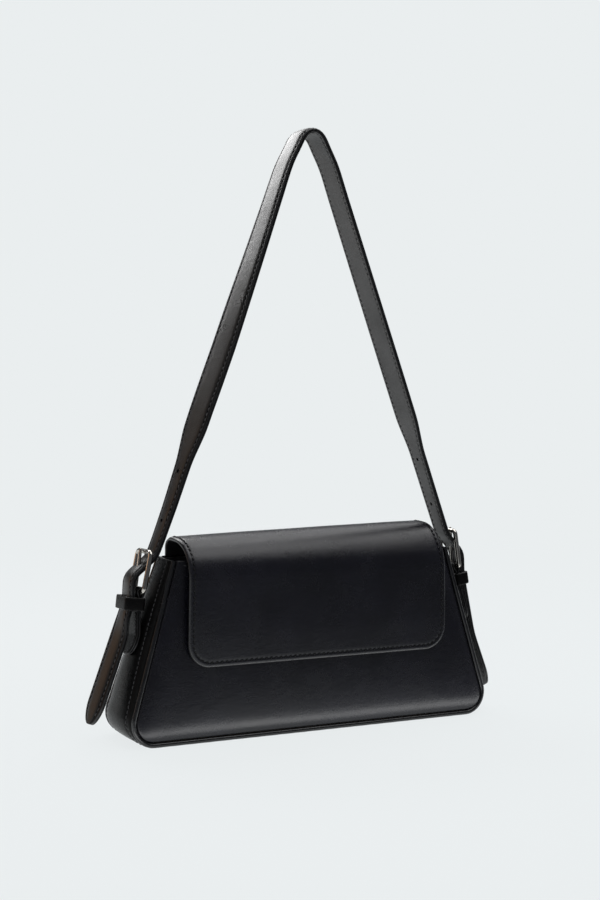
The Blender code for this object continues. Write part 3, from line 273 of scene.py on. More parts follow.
BODY = leather("body_leather", (0.0047, 0.0046, 0.0080), 0.25, 0.50)
FLAP = leather("flap_leather", (0.0060, 0.0059, 0.0094), 0.24, 0.48)
SOFT = leather("gusset_leather", (0.0036, 0.0034, 0.0033), 0.30, 0.15, 1.2)
BELT = leather("strap_leather", (0.0105, 0.0096, 0.0086), 0.31, 0.46)
# The strap's margins beyond the stitching: a darker, duller copy of the strap leather, painted shade for the
# pressed-down edges that face away from the light.
MARGIN_PAINTED_SHADE = leather("strap_margin_painted_shade", (0.0042, 0.0040, 0.0039), 0.34, 0.22, 0.8)
BELT_LINING = leather("strap_lining_leather", (0.040, 0.039, 0.039), 0.44, 0.5, 0.7)
LOOP = leather("keeper_leather", (0.0034, 0.0033, 0.0033), 0.28, 0.08, 0.8)
FLAP_INSIDE = leather("flap_lining_leather", (0.030, 0.029, 0.031), 0.58, 0.3, 0.7)
PAINT = edge_paint("edge_paint")
CORD = leather("piping_leather", (0.0050, 0.0050, 0.0060), 0.20, 0.60, 0.5)
CLOTH = cloth("twill_lining", (0.030, 0.029, 0.031))
BOARD = fibre_board("fibre_board")
# Stitch thread lifted to dark grey: its own near-black colour plus a painted highlight, so the stitches read
# as light dots.
THREAD_PAINTED_HIGHLIGHT = thread("waxed_thread_painted_highlight")
# Near-black thread for the flap's stitches: its own black colour deepened as painted shade for the dents the
# stitches sink into.
THREAD_PAINTED_DENT_SHADE = thread("thread_painted_dent_shade", (0.0035, 0.0035, 0.0038), 0.25)
METAL = plated("silver_plating")


# Mesh helpers


def clamped(value):
    return min(max(value, 0.0), 1.0)


def eased(share):
    """The share held between 0 and 1 and smoothed at both ends."""
    share = clamped(share)
    return share * share * (3 - 2 * share)


def circle(count):
    """The cosine and sine of each step round a circle."""
    return [(cos(tau * k / count), sin(tau * k / count)) for k in range(count)]


def hundredths(*rows):
    """Pairs written in hundredths of a millimetre, in metres."""
    return [(a / 100000, b / 100000) for a, b in rows]


def turned(line):
    """The other half of a section that is the same on both sides."""
    return [(-a, b) for a, b in reversed(line)]


def rim_of(thickness, face, back):
    """A sheet's edge as (inset, depth). back gives its heights above the inner face."""
    return hundredths(*face) + [(inset, thickness - height) for inset, height in hundredths(*back)]


def new_mesh(name, points, faces, materials):
    """A closed mesh whose faces look outward."""
    mesh = bpy.data.meshes.new(name)
    mesh.from_pydata([tuple(p) for p in points], [], faces)
    for material in materials:
        mesh.materials.append(material)
    work = bmesh.new()
    work.from_mesh(mesh)
    bmesh.ops.recalc_face_normals(work, faces=work.faces)
    work.to_mesh(mesh)
    work.free()
    return mesh


def new_object(name, data):
    item = bpy.data.objects.new(name, data)
    bpy.context.scene.collection.objects.link(item)
    return item


def piece(name, points, faces, materials, body=None, replaces=(), slot="leather", zones=None, wear=None):
    """A smooth closed mesh with its materials. wear is one number for each point."""
    mesh = new_mesh(name, points, faces, materials)
    if zones:
        mesh.polygons.foreach_set("material_index", zones)
    if wear:
        mesh.attributes.new("wear", "FLOAT", "POINT").data.foreach_set("value", wear)
    mesh.shade_smooth()
    mesh.set_sharp_from_angle(angle=radians(50))
    item = new_object(name, mesh)
    if replaces:
        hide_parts(*replaces)
    if body:
        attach(item, body)
    return item


def bake_modifiers(item):
    shape = item.evaluated_get(bpy.context.evaluated_depsgraph_get())
    mesh = bpy.data.meshes.new_from_object(shape)
    item.modifiers.clear()
    item.data = mesh


def combine(items, other, operation):
    """Adds a closed form to each item, or takes it out. Its own faces keep their material."""
    for item in items:
        modifier = item.modifiers.new("shape", "BOOLEAN")
        modifier.operation, modifier.object, modifier.material_mode = operation, other, "TRANSFER"
        bake_modifiers(item)
    bpy.data.objects.remove(other, do_unlink=True)


def cut(items, points, faces):
    """Takes a closed form out of each item and paints the cut."""
    combine(items, new_object("cutter", new_mesh("cutter", points, faces, [PAINT])), "DIFFERENCE")


def ring_faces(rings, count, loop=False, first=0, closed=True):
    """Quads between so many rings of the same count, and for each quad its place round the ring."""
    faces, places = [], []
    for r in range(rings if loop else rings - 1):
        here, there = first + r * count, first + (r + 1) % rings * count
        for c in range(count if closed else count - 1):
            d = (c + 1) % count
            faces.append((here + c, here + d, there + d, there + c))
            places.append(c)
    return faces, places


def sweep(name, rings, materials, body, loop=False, zone_of=None, wear_of=None, **options):
    """A mesh over rings of points, closed by caps or joined end to end."""
    count = len(rings[0])
    faces, places = ring_faces(len(rings), count, loop)
    zones = [zone_of(c) for c in places] if zone_of else [0] * len(faces)
    if not loop:
        faces += [tuple(range(count)), tuple((len(rings) - 1) * count + c for c in reversed(range(count)))]
        zones += [len(materials) - 1 if zone_of else 0] * 2
    wear = [wear_of(c) for _ in rings for c in range(count)] if wear_of else None
    points = [p for ring in rings for p in ring]
    return piece(name, points, faces, materials, body, zones=zones, wear=wear, **options)


def read_table(table, value):
    """The value between the table's two nearest rows, or its last one."""
    for (a, low), (b, high) in zip(table, table[1:]):
        if value <= b:
            return low + (high - low) * (value - a) / (b - a)
    return table[-1][1]


def waver(place, scale, size, seed=0.0):
    """A gentle unevenness of a surface, as a signed distance."""
    return size * noise.noise(Vector(place) * scale + Vector((seed, seed * 1.7, -seed)))


def rounded(corners, radii, bend=radians(4)):
    """A path through the corners, each taken by an arc of its radius."""
    corners = [Vector(c) for c in corners]
    path = [corners[0]]
    for before, corner, after, radius in zip(corners, corners[1:], corners[2:], radii):
        into, away = (corner - before).normalized(), (after - corner).normalized()
        turn = into.angle(away)
        centre = corner + (away - into).normalized() * (radius / cos(turn / 2))
        arm = corner - into * radius * tan(turn / 2) - centre
        steps = max(2, ceil(turn / bend))
        for k in range(steps + 1):
            angle = turn * k / steps
            path.append(centre + arm * cos(angle) + into * radius * sin(angle))
    path.append(corners[-1])
    return path


class Route:
    """A path in one plane, read at any distance along it."""

    def __init__(self, points):
        self.points = points
        self.lengths = [0.0]
        for a, b in zip(points, points[1:]):
            self.lengths.append(self.lengths[-1] + (b - a).length)
        self.total = self.lengths[-1]

    def at(self, distance):
        distance = min(max(distance, 0.0), self.total)
        low = min(max(bisect.bisect_left(self.lengths, distance) - 1, 0), len(self.points) - 2)
        span = self.lengths[low + 1] - self.lengths[low]
        return self.points[low].lerp(self.points[low + 1], (distance - self.lengths[low]) / span)

    def direction(self, distance, reach=0.0004):
        return (self.at(distance + reach) - self.at(distance - reach)).normalized()

    def distance_near(self, place):
        best = (1.0, 0.0)
        for a, b, length in zip(self.points, self.points[1:], self.lengths):
            span = b - a
            share = clamped((place - a).dot(span) / span.length_squared)
            best = min(best, ((place - a.lerp(b, share)).length, length + span.length * share))
        return best[1]


def stitches(name, path, normals, body=None, pitch=STITCH_PITCH, slant=0.0, radius=THREAD_RADIUS,
             length=STITCH_LENGTH, material=None):
    """Thread laid along a line of points: each stitch comes up, runs along and goes back down."""
    route = Route(path)
    count = max(1, round(route.total / pitch))
    points, faces = [], []
    index = 0
    for number in range(count):
        middle = route.total * (number + 0.5) / count
        while route.lengths[index + 1] < middle and index < len(path) - 2:
            index += 1
        share = (middle - route.lengths[index]) / (route.lengths[index + 1] - route.lengths[index])
        centre = path[index].lerp(path[index + 1], share)
        up = normals[index].lerp(normals[index + 1], share).normalized()
        along = (path[index + 1] - path[index]).normalized()
        side = up.cross(along).normalized()
        tilt = slant + random.uniform(-0.04, 0.04)
        along = (along * cos(tilt) + side * sin(tilt)).normalized()
        side = up.cross(along).normalized()
        size = radius * random.uniform(0.92, 1.08)
        base = len(points)
        for reach, rise, scale in STITCH_SECTIONS:
            core = centre + along * length * reach + up * (rise * size)
            points += [core + (side * c + up * s) * size * scale for c, s in circle(6)]
        faces += ring_faces(len(STITCH_SECTIONS), 6, first=base)[0]
        faces += [tuple(range(base, base + 6)), tuple(range(base + 35, base + 29, -1))]
    return piece(name, points, faces, [material or THREAD_PAINTED_HIGHLIGHT], body)


# The bag's outline and depth


def half_depth(height):
    return (BASE_DEPTH + (TOP_DEPTH - BASE_DEPTH) * height / BODY_HEIGHT) / 2


def side_at(height, inset=0.0):
    return BASE_WIDTH / 2 - height * tan(SIDE_LEAN) - inset / cos(SIDE_LEAN)


def outline(inset=0.0, bottom=24, corner=18, side=26, top=BODY_HEIGHT):
    """The seam line as (x, z, normal x, normal z), from the top left round the bottom to the top right."""
    across = side_at(CORNER_RADIUS, CORNER_RADIUS)
    radius = CORNER_RADIUS - inset
    right = [(across * k / bottom, inset, 0.0, -1.0) for k in range(bottom)]
    for k in range(corner + 1):
        turn = -pi / 2 + (pi / 2 + SIDE_LEAN) * k / corner
        right.append((across + radius * cos(turn), CORNER_RADIUS + radius * sin(turn),
                      cos(turn), sin(turn)))
    start = right[-1][1]
    for k in range(1, side + 1):
        height = start + (top - start) * k / side
        right.append((side_at(height, inset), height, cos(SIDE_LEAN), sin(SIDE_LEAN)))
    return [(-x, z, -nx, nz) for x, z, nx, nz in reversed(right[1:])] + right


def crowned(height, share, crown):
    return half_depth(height) + crown * (1 - share ** 4)


def rolled(x, z):
    """How far the leather near the seams stands in front of a flat sheet: it rolls down into them."""
    beside = (side_at(z, SEAM_INSET) - abs(x)) * cos(SIDE_LEAN)
    low, side = (1 - (1 - clamped(gap / PANEL_ROLL_WIDTH)) ** 2 for gap in (z - SEAM_INSET, beside))
    return PANEL_ROLL * (low * side - 0.5)


def make_panel(name, facing, crown, node):
    """A crowned panel whose edge is turned in against the piping and over at the top."""
    edge = [(x, z) for x, z, _, _ in outline(SEAM_INSET)]
    edge += [(edge[-1][0] * (1 - 2 * k / 48), BODY_HEIGHT) for k in range(1, 48)]
    count, middle = len(edge), BODY_HEIGHT / 2

    def place(x, height, share, depth):
        out = crowned(height, share, crown) + rolled(x, height) - depth
        return Vector((x, facing * out, height))

    def ring(share, depth, uneven=0.0):
        points = []
        for x, z in edge:
            height = middle + (z - middle) * share
            rise = waver((x * share, facing * 0.02, height), 22, uneven * (1 - share ** 6), 3 + facing)
            points.append(place(x * share, height, share, depth - rise))
        return points

    profile = [(share, 0.0) for share in (0.16, 0.32, 0.46, 0.58, 0.68, 0.76, 0.83, 0.88, 0.92, 0.945, 0.965,
                                          0.98, 0.99)]
    profile += [(0.995, 0.00008), (0.9985, 0.0003), (1.0, 0.0009)]
    layers = [ring(share, depth, PANEL_SWELL) for share, depth in profile]
    layers += [ring(share, PANEL_THICKNESS) for share in (1.0, 0.92, 0.8, 0.4)]
    faces, _ = ring_faces(len(layers), count)
    points = [p for layer in layers for p in layer]
    for first, depth in ((0, 0.0), (len(points) - count, PANEL_THICKNESS)):
        points.append(place(0, middle, 0, depth))
        faces += [(first + c, first + (c + 1) % count, len(points) - 1) for c in range(count)]
    rubbed = range(len(profile) - 3, len(profile))
    wear = [0.25 if k // count in rubbed else 0.0 for k in range(len(points))]
    piece(name, points, faces, [BODY], "bag", (node,), wear=wear)
    height = BODY_HEIGHT - TOP_STITCH_DROP
    reach = side_at(BODY_HEIGHT, SEAM_INSET) - TOP_STITCH_END
    path = [place(reach * (1 - k / 30), height, (height - middle) / middle, -0.0001) for k in range(61)]
    normal = Vector((0, facing * cos(FACE_LEAN), sin(FACE_LEAN)))
    stitches(name + "_top_stitches", path, [normal] * 61, "bag")


def bulge_at(height):
    share = clamped(height / BODY_HEIGHT)
    return GUSSET_BULGE * (BULGE_END + (1 - BULGE_END) * sin(pi * share ** BULGE_LOW))


def gusset_point(x, z, nx, nz, across, sunk=0.0):
    reach = half_depth(z) - SEAM_INSET
    bulge = bulge_at(z) * nx ** 2 * (1 - abs(across) ** BULGE_BOX) - sunk
    bulge += waver((x, across * 0.02, z), 30, 0.0005 * (1 - across ** 4) * nx ** 2, 5)
    return Vector((x + nx * bulge, reach * across, z + nz * bulge))


def make_gusset():
    """The strip round the sides and base, with a stitched edge beside each piping."""
    sinks = [0.0006, 0.0001, 0.0, 0.00004, 0.00030, 0.00004, 0, 0, 0, 0, 0]
    sinks += list(reversed(sinks))
    rings = []
    seam = {-1: [], 1: []}
    normals = []
    line = outline()
    for number, (x, z, nx, nz) in enumerate(line):
        reach = half_depth(z) - SEAM_INSET
        groove = 1 - GUSSET_STITCH_INSET / reach
        offsets = [1.0, 1 - 0.0004 / reach, 1 - 0.0012 / reach, groove + 0.0006 / reach, groove,
                   groove - 0.0006 / reach]
        offsets += [(groove - 0.0006 / reach) * s for s in (0.93, 0.82, 0.62, 0.38, 0.13)]
        shares = offsets + [-s for s in reversed(offsets)]
        normal = Vector((nx, 0.0, nz))
        outer = [gusset_point(x, z, nx, nz, s, d) for s, d in zip(shares, sinks)]
        inner = [gusset_point(x, z, nx, nz, s) - normal * GUSSET_THICKNESS for s in shares]
        if number in (0, len(line) - 1):
            for p in outer + inner:
                p.z = BODY_HEIGHT
        rings.append(outer + list(reversed(inner)))
        normals.append(normal)
        for facing, path in seam.items():
            path.append(gusset_point(x, z, nx, nz, facing * groove, 0.0001))
    sweep("gusset_leather", rings, [SOFT, PAINT], "bag", zone_of=lambda c: 0,
          wear_of=lambda c: 0.12 if c in (0, 1, 20, 21) else 0.0, replaces=("gusset",))
    for facing, name in FACES:
        stitches(f"gusset_stitches_{name}", seam[facing], normals, "bag")


def make_piping(name, facing, node):
    """A bead of leather over a cord, its section a little uneven along the seam."""
    rings = []
    for i, (x, z, nx, nz) in enumerate(outline(PIPING_RADIUS, 34, 22, 34)):
        centre = Vector((x, facing * (half_depth(z) - PIPING_RADIUS), z))
        uneven = PIPING_UNEVEN * sin(i * 1.9)
        rings.append([centre + (Vector((nx, 0.0, nz)) * c + Vector((0, facing * s, 0)))
                      * (PIPING_RADIUS * (1.0 + uneven * (c * c - s * s))) for c, s in circle(18)])
    sweep(name, rings, [CORD], "bag", replaces=(node,), slot="piping",
          wear_of=lambda c: 0.15 if c in (1, 2, 3) else 0.0)


def make_lining():
    """The sewn inner bag, with a turned hem at the mouth."""
    top = BODY_HEIGHT - LINING_TOP_DROP
    seam = [(x, max(z, LINING_FLOOR)) for x, z, _, _ in outline(LINING_INSET, top=top)]
    columns, across = len(seam), 24
    shares = (-1, -0.8, -0.45, 0, 0.45, 0.8, 1)
    points = []
    for s in shares:
        for x, z in seam:
            gap = 0.0003 + 0.0005 * (1 - s * s) * (1 + noise.noise(Vector((x, s, z)) * 60))
            points.append(Vector((x, (half_depth(z) - LINING_INSET) * s, z))
                          + Vector((-x, 0, 0.06 - z)).normalized() * gap)
    faces, _ = ring_faces(len(shares), columns, closed=False)
    for facing, first in ((-1, 0), (1, (len(shares) - 1) * columns)):
        levels = []
        for k in range(columns // 2 + 1):
            left, right = first + k, first + columns - 1 - k
            for m in range(1, across):
                p = points[left].lerp(points[right], m / across)
                sag = 0.0004 + 0.0008 * max(0.0, noise.noise(Vector((p.x * 25, facing * 4, p.z * 40))))
                p.y -= facing * sag * sin(pi * m / across)
                points.append(p)
            levels.append([left, *range(len(points) - across + 1, len(points)), right])
        for low, high in zip(levels, levels[1:]):
            for m in range(across):
                corners = tuple(dict.fromkeys((low[m], low[m + 1], high[m + 1], high[m])))
                if len(corners) > 2:
                    faces.append(corners)
    item = piece("lining_bag", points, faces, [CLOTH], None, ("lining_front", "lining_back", "lining_gusset"),
                 slot="cloth")
    solid = item.modifiers.new("cloth", "SOLIDIFY")
    solid.thickness, solid.offset = LINING_CLOTH, 0
    bake_modifiers(item)
    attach(item, "bag")
    for facing, name in FACES:
        reach, out = side_at(top, HEM_SIDE), facing * (half_depth(top) - HEM_INSET)
        path = [Vector((reach * (1 - k / 20), out, top - HEM_DROP)) for k in range(41)]
        stitches(f"lining_hem_{name}", path, [Vector((0, -facing, 0))] * 41, "bag", radius=FINE_THREAD)


def make_pocket():
    """A pouch on the back lining that stands open a little, hemmed along its top."""
    up = Vector((0.0, -sin(FACE_LEAN), cos(FACE_LEAN)))
    inward = Vector((0.0, -cos(FACE_LEAN), -sin(FACE_LEAN)))
    foot = Vector((0.0, half_depth(POCKET_FLOOR) - POCKET_SEAT, POCKET_FLOOR))
    columns, rows = 36, 22
    front, rings = [], []
    for r in range(rows + 1):
        rise = r / rows
        outer, inner = [], []
        for c in range(columns + 1):
            across = -1 + 2 * c / columns
            belly = (1 - across ** 6) * (0.25 + 0.75 * sin(rise * pi / 2) ** 0.5) if rise else 0.12
            depth = (POCKET_DEPTH - 0.0002) * belly
            depth += waver((across * 0.05, 9, rise * 0.05), 60, 0.0004 * (1 - across ** 4))
            if r in (rows - 1, rows - 2):
                depth += 0.00015 * (1 - across ** 6)
            depth = min(max(depth, POCKET_LEAST), POCKET_DEPTH)
            place = foot + Vector((across * POCKET_WIDTH / 2, 0, 0)) + up * (rise * POCKET_HEIGHT)
            outer.append(place + inward * depth)
            inner.append(place + inward * (depth - POCKET_CLOTH))
        front.append(outer)
        rings.append(outer + list(reversed(inner)))
    sweep("pocket", rings, [CLOTH], "bag", replaces=("slip_pocket",), slot="cloth")
    for name, line in (("top", front[rows - 2]), ("left", [row[1] for row in front]),
                       ("right", [row[-2] for row in front]), ("bottom", front[1])):
        stitches(f"pocket_stitches_{name}", [p + inward * 0.0001 for p in line], [inward] * len(line), "bag",
                 radius=FINE_THREAD)


# A sheet with two round corners: the flap, and the tabs that hold the buckles


def steps_from(start, step, total):
    """Distances from start to total, the start left out and the last one exact."""
    stops = []
    while start < total - 0.00001:
        start = min(start + step, total)
        stops.append(start)
    return stops


def side_and_corner(half_at, radius, stops, inset):
    """One side of a sheet's edge, from its far end down and round the near corner, as (x, distance)."""
    centre, arm = half_at(radius) - radius, radius - inset
    line = [(max(half_at(s) - inset, half_at(s) * 0.4), s) for s in reversed(stops)]
    for k in range(CORNER_STEPS + 1):
        turn = pi / 2 * k / CORNER_STEPS
        line.append((centre + arm * cos(turn), radius - arm * sin(turn)))
    return line


def tongue(name, half_at, radius, stops, columns, rim, surface, materials, node_names):
    """Rings follow the edge as the rim says, as (inset, depth), then a grid fills each face."""
    low = half_at(radius) - radius

    def edge(inset):
        right = side_and_corner(half_at, radius, stops, inset)
        return (right + [(low * (1 - 2 * k / columns), inset) for k in range(1, columns)]
                + [(-x, s) for x, s in reversed(right)])

    points = [surface(x, s, depth) for inset, depth in rim for x, s in edge(inset)]
    count = len(points) // len(rim)
    wear = [0.25 if inset < 0.0009 else 0.0 for inset, _ in rim for _ in range(count)]
    painted = [a[0] < 0.0004 and b[0] < 0.0004 for a, b in zip(rim, rim[1:])]
    faces, _ = ring_faces(len(rim), count, closed=False)
    zones = []
    for r, paint in enumerate(painted):
        zones += [1 if paint else 0 if r < painted.index(True) else 2] * (count - 1)
    long_side = len(stops) + CORNER_STEPS
    ends = []
    for (inset, depth), base, zone in ((rim[0], 0, 0), (rim[-1], (len(rim) - 1) * count, 2)):
        line = edge(inset)
        previous = [base + long_side + k for k in range(columns + 1)]
        for k in reversed(range(long_side)):
            x_right, s = line[k]
            first = len(points)
            points += [surface(x_right * (1 - 2 * m / columns), s, depth) for m in range(1, columns)]
            row = [base + k, *range(first, len(points)), base + count - 1 - k]
            faces += [(previous[m], previous[m + 1], row[m + 1], row[m]) for m in range(columns)]
            previous = row
        zones += [zone] * (columns * long_side)
        ends.append(previous)
    outer, inner = ends
    faces += [(outer[m], outer[m + 1], inner[m + 1], inner[m]) for m in range(columns)]
    faces += [tuple(r * count + c for r in range(len(rim))) for c in (0, count - 1)]
    zones += [1] * (columns + 2)
    wear += [0.0] * (len(points) - len(wear))
    return piece(name, points, faces, materials, zones=zones, wear=wear, replaces=node_names)


def edge_line(half_at, radius, stops, inset, surface, lift=0.0):
    """Points and outward normals along a line that keeps a distance from the sheet's edge."""
    flat = side_and_corner(half_at, radius, stops, inset)
    flat += [((half_at(radius) - radius) * (1 - k / 20), inset) for k in range(1, 20)]
    flat += [(-x, s) for x, s in reversed(flat)]
    path = [surface(x, s, -lift) for x, s in flat]
    normals = [(surface(x, s, 0.0) - surface(x, s, 0.001)).normalized() for x, s in flat]
    return path, normals


HINGE = Vector((0.0, half_depth(BODY_HEIGHT) + SEAT_GAP + FLAP_LEATHER, BODY_HEIGHT + HINGE_RISE))


def flap_route():
    """The flap's outer face seen from its end, on over the fold and down the back."""
    corners = [(-FLAP_BOTTOM_REACH, FLAP_BOTTOM), (-FLAP_SHOULDER_REACH, FLAP_TOP),
               (HINGE.y + FLAP_BACK_LEAN, FLAP_TOP), (HINGE.y, HINGE.z)]
    path = rounded(corners, [FLAP_FRONT_RADIUS, FLAP_BACK_RADIUS], radians(5))
    middle = BODY_HEIGHT / 2
    for k in range(1, 11):
        height = HINGE.z - (FLAP_ROOT + HINGE_RISE) * k / 10
        out = HINGE.y
        if height < BODY_HEIGHT:
            out = crowned(height, (height - middle) / middle, BACK_CROWN) + SEAT_GAP + FLAP_LEATHER
        path.append(Vector((out, height)))
    return Route(path)


def make_flap():
    """The laminated flap, thinner over its fold, with a stitched groove round its edge."""
    route = flap_route()
    fold = route.total - FLAP_ROOT - HINGE_RISE
    half = FLAP_WIDTH / 2
    stops = steps_from(FLAP_CORNER, FLAP_STEP, route.total)

    def surface(x, s, depth):
        place, along = route.at(s), route.direction(s, 0.0015)
        if depth > FLAP_SKIN:
            depth -= (FLAP_LAMINATE - FLAP_LEATHER) * (1 - clamped((fold - 0.004 - s) / FLAP_SKIVE))
        soft = prod(clamped(gap / FLAP_FIRM) for gap in (half - abs(x), s, fold - s))
        depth -= waver((x, s, 0), 20, 0.00035 * soft, 11) + 0.00045 * soft
        p = place + Vector((along.y, -along.x)) * depth
        rise = clamped((p.y - HINGE.z) / (FLAP_TOP - HINGE.z))
        ease = clamped((p.y - FLAP_BOTTOM) / (FLAP_TOP - FLAP_BOTTOM)) ** 2 if p.x < 0 else 1.0
        drawn = x - FLAP_EASE * max(x, 0.0) / half * ease
        return Vector((drawn, p.x, p.y + (FLAP_LIFT + FLAP_SKEW * x / half) * rise))

    shape = (lambda s: half, FLAP_CORNER, stops)
    rim = rim_of(FLAP_LAMINATE, ((560, 0), (450, 2), (390, 10), (340, 28), (310, 36), (280, 30), (240, 12),
                                 (200, 4), (150, 8), (110, 18), (70, 36), (30, 66), (8, 90), (0, 130)),
                 ((0, 80), (15, 30), (50, 6), (120, 0), (500, 0)))
    item = tongue("flap", *shape, 40, rim, surface, [FLAP, PAINT, FLAP_INSIDE],
                  ("flap_outer", "flap_lining", "flap_root"))
    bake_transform(item)
    path, normals = edge_line(*shape, FLAP_STITCH_INSET, surface, -0.00022)
    # The flap's stitches use the near-black thread, painted shade for their dents.
    line = stitches("flap_stitches", path, normals, None, pitch=COARSE_PITCH, slant=radians(26),
                    radius=0.00043, length=0.0024, material=THREAD_PAINTED_DENT_SHADE)
    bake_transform(line)
    row = [surface((half - 0.003) * (1 - k / 15), route.total - 0.003, -0.0001) for k in range(31)]
    stitches("flap_root_stitches", row, [Vector((0, 1, 0.05))] * 31, "bag", pitch=COARSE_PITCH,
             slant=radians(18), radius=0.0003, length=0.0027)


def lathe(name, centre, axis, profile, body, node):
    """A turned piece. profile is (radius, height) from the middle of one face to the middle of the other."""
    across = axis.orthogonal().normalized()
    other = axis.cross(across)
    rings = [[centre + axis * height + (across * c + other * s) * radius for c, s in circle(40)]
             for radius, height in profile]
    sweep(name, rings, [METAL], body, replaces=(node,), slot="metal")


def disc(radius, thickness, rim=0.00018):
    """The profile of a thin disc with rounded edges, up to the top of its rim."""
    half = thickness / 2
    return [(radius * 0.3, -half), (radius - rim * 2, -half), (radius - rim * 0.6, -half + rim * 0.3),
            (radius, -half + rim * 1.4), (radius, half - rim * 1.4), (radius - rim * 0.6, half - rim * 0.3),
            (radius - rim * 2, half)]


def make_snap():
    """The magnetic snap: a ring in front, a washer behind the leather and a stud in the flap."""
    out = Vector((0.0, -cos(FACE_LEAN), sin(FACE_LEAN)))
    face = Vector((0.0, -(half_depth(SNAP_HEIGHT) + FRONT_CROWN), SNAP_HEIGHT))
    half = SNAP_THICKNESS / 2

    def turn(name, centre, axis, radius, steps, body, node):
        lathe(name, centre, axis, disc(radius, SNAP_THICKNESS) + hundredths(*steps), body, node)

    turn("snap_ring", face + out * (SEAT_GAP + half), out, SNAP_RADIUS,
         ((520, 40), (480, 28), (440, 40), (410, 40), (390, 20), (390, -5), (60, -5)), "bag", "snap_socket")
    turn("snap_backing", face - out * (PANEL_THICKNESS + SEAT_GAP + half), -out, WASHER_RADIUS,
         ((300, 40), (260, 20), (50, 20)), "bag", "snap_washer")
    route = flap_route()
    stop = (SNAP_HEIGHT - FLAP_BOTTOM) / cos(FACE_LEAN)
    along, place = route.direction(stop), route.at(stop)
    inward = Vector((0.0, along.y, -along.x))
    base = Vector((0.0, place.x, place.y)) + inward * (FLAP_LEATHER + 2 * SEAT_GAP + 0.0010 + half)
    turn("snap_stud_cap", base, inward, SNAP_RADIUS,
         ((540, 40), (500, 28), (460, 40), (290, 40), (270, 78), (240, 90), (60, 90)), "flap", "snap_stud")


# The strap and what holds it


ROOT = Vector((0.0, 0.0, TAB_ROOT))
POSE = Matrix.Translation(ROOT) @ Matrix.Rotation(-STRAP_LEAN, 4, "X") @ Matrix.Translation(-ROOT)


def heel(side):
    return Vector(SIDES[side]["heel"])


def lift(side, place, y=0.0):
    return POSE @ Vector((SIDES[side]["sign"] * place.x, y, place.y))


def mirrored(side, place):
    """A place on that side as the front shows it, or the same in the side's own outward x."""
    return Vector((SIDES[side]["sign"] * place.x, place.y))


def top_bar(side):
    tilt = SIDES[side]["tilt"]
    return heel(side) + Vector((-sin(tilt), cos(tilt))) * BUCKLE_LENGTH


def chape_seat(height):
    """The middle between the tab's layers where it lies on the gusset."""
    bulge = bulge_at(height) * cos(SIDE_LEAN) ** 2
    seat = side_at(height) + (bulge + SEAT_GAP) / cos(SIDE_LEAN)
    return Vector((seat + CHAPE_THICKNESS + SEAT_GAP, height))


def chape_axis(side):
    down = (chape_seat(heel(side).y - CHAPE_FREE) - heel(side)).normalized()
    return down, Vector((-down.y, down.x))


BESIDE_FOLD = BAR_RADIUS + 2 * SEAT_GAP + CHAPE_THICKNESS + STRAP_HALF
BESIDE_CHAPE = CHAPE_THICKNESS + 1.5 * SEAT_GAP + STRAP_HALF


def strap_corners(side):
    bar, pin = top_bar(side), heel(side)
    down, out = chape_axis(side)
    beside_bar = BAR_RADIUS + 2 * SEAT_GAP + STRAP_HALF
    under_bar = bar + Vector((-cos(pi / 6), -sin(pi / 6))) * beside_bar
    details = SIDES[side]
    return [under_bar, pin - down * BULGE_RISE + out * (BESIDE_FOLD + BULGE_REACH),
            pin + down * SPLAY_DROP + out * (BESIDE_CHAPE + details["stand"]), Vector(details["bend"]),
            Vector(details["tip"])]


def strap_route():
    """The strap's middle line from the left tip over the apex to the right tip."""
    left, right = ([mirrored(side, place) for place in strap_corners(side)] for side in SIDES)
    spread = (right[0].x - left[0].x) / 2
    rise = APEX_HEIGHT - (left[0].y + right[0].y) / 2
    extra = 0.0
    for _ in range(6):
        extra = APEX_RADIUS * (1 / sin(atan(spread / (rise + extra))) - 1)
    corners = list(reversed(left)) + [Vector((0.0, APEX_HEIGHT + extra))] + right
    radii = [TAIL_RADIUS, SPLAY_RADIUS, BULGE_RADIUS, CROSSING_RADIUS]
    return Route(rounded(corners, radii + [APEX_RADIUS] + list(reversed(radii)), radians(5)))


def prong_line(side):
    bar, pin = top_bar(side), heel(side)
    along = (bar - pin).normalized()
    out = Vector((along.y, -along.x))
    start = pin + out * PRONG_RADIUS
    rest = bar + out * (BAR_RADIUS + SEAT_GAP + PRONG_RADIUS)
    return start, rest + (rest - start).normalized() * PRONG_OVERHANG


def buckled_place(side):
    start, end = prong_line(side)
    a, b = strap_corners(side)[:2]
    reach = end - start
    return mirrored(side, start + reach * ((a - start).cross(b - a) / reach.cross(b - a)))


def keeper_reach(side):
    """How far below the heel bar the keeper's lower edge comes when it is slid down."""
    return SIDES[side]["keeper"] + KEEPER_HEIGHT / 2 + KEEPER_TRAVEL


# Tables in hundredths of a millimetre: how far in from the edge, or along from the apex, and how high
STRAP_EDGE = hundredths((0, -110), (12, -50), (45, -12), (90, 0), (140, 0), (180, -8), (210, -28),
                        (240, -6), (290, 22), (370, 48), (480, 62))
LINING_EDGE = hundredths((0, 70), (10, 35), (40, 8), (90, 0), (170, 3), (210, 18), (250, 3), (350, 0),
                         (550, 0))
SHOULDER = hundredths((0, 0), (400, 50), (800, 130), (1150, 180), (1450, 180), (1800, 140), (2150, 90),
                      (2500, 40), (2900, 0), (3400, -20), (4200, -10), (5000, 0))


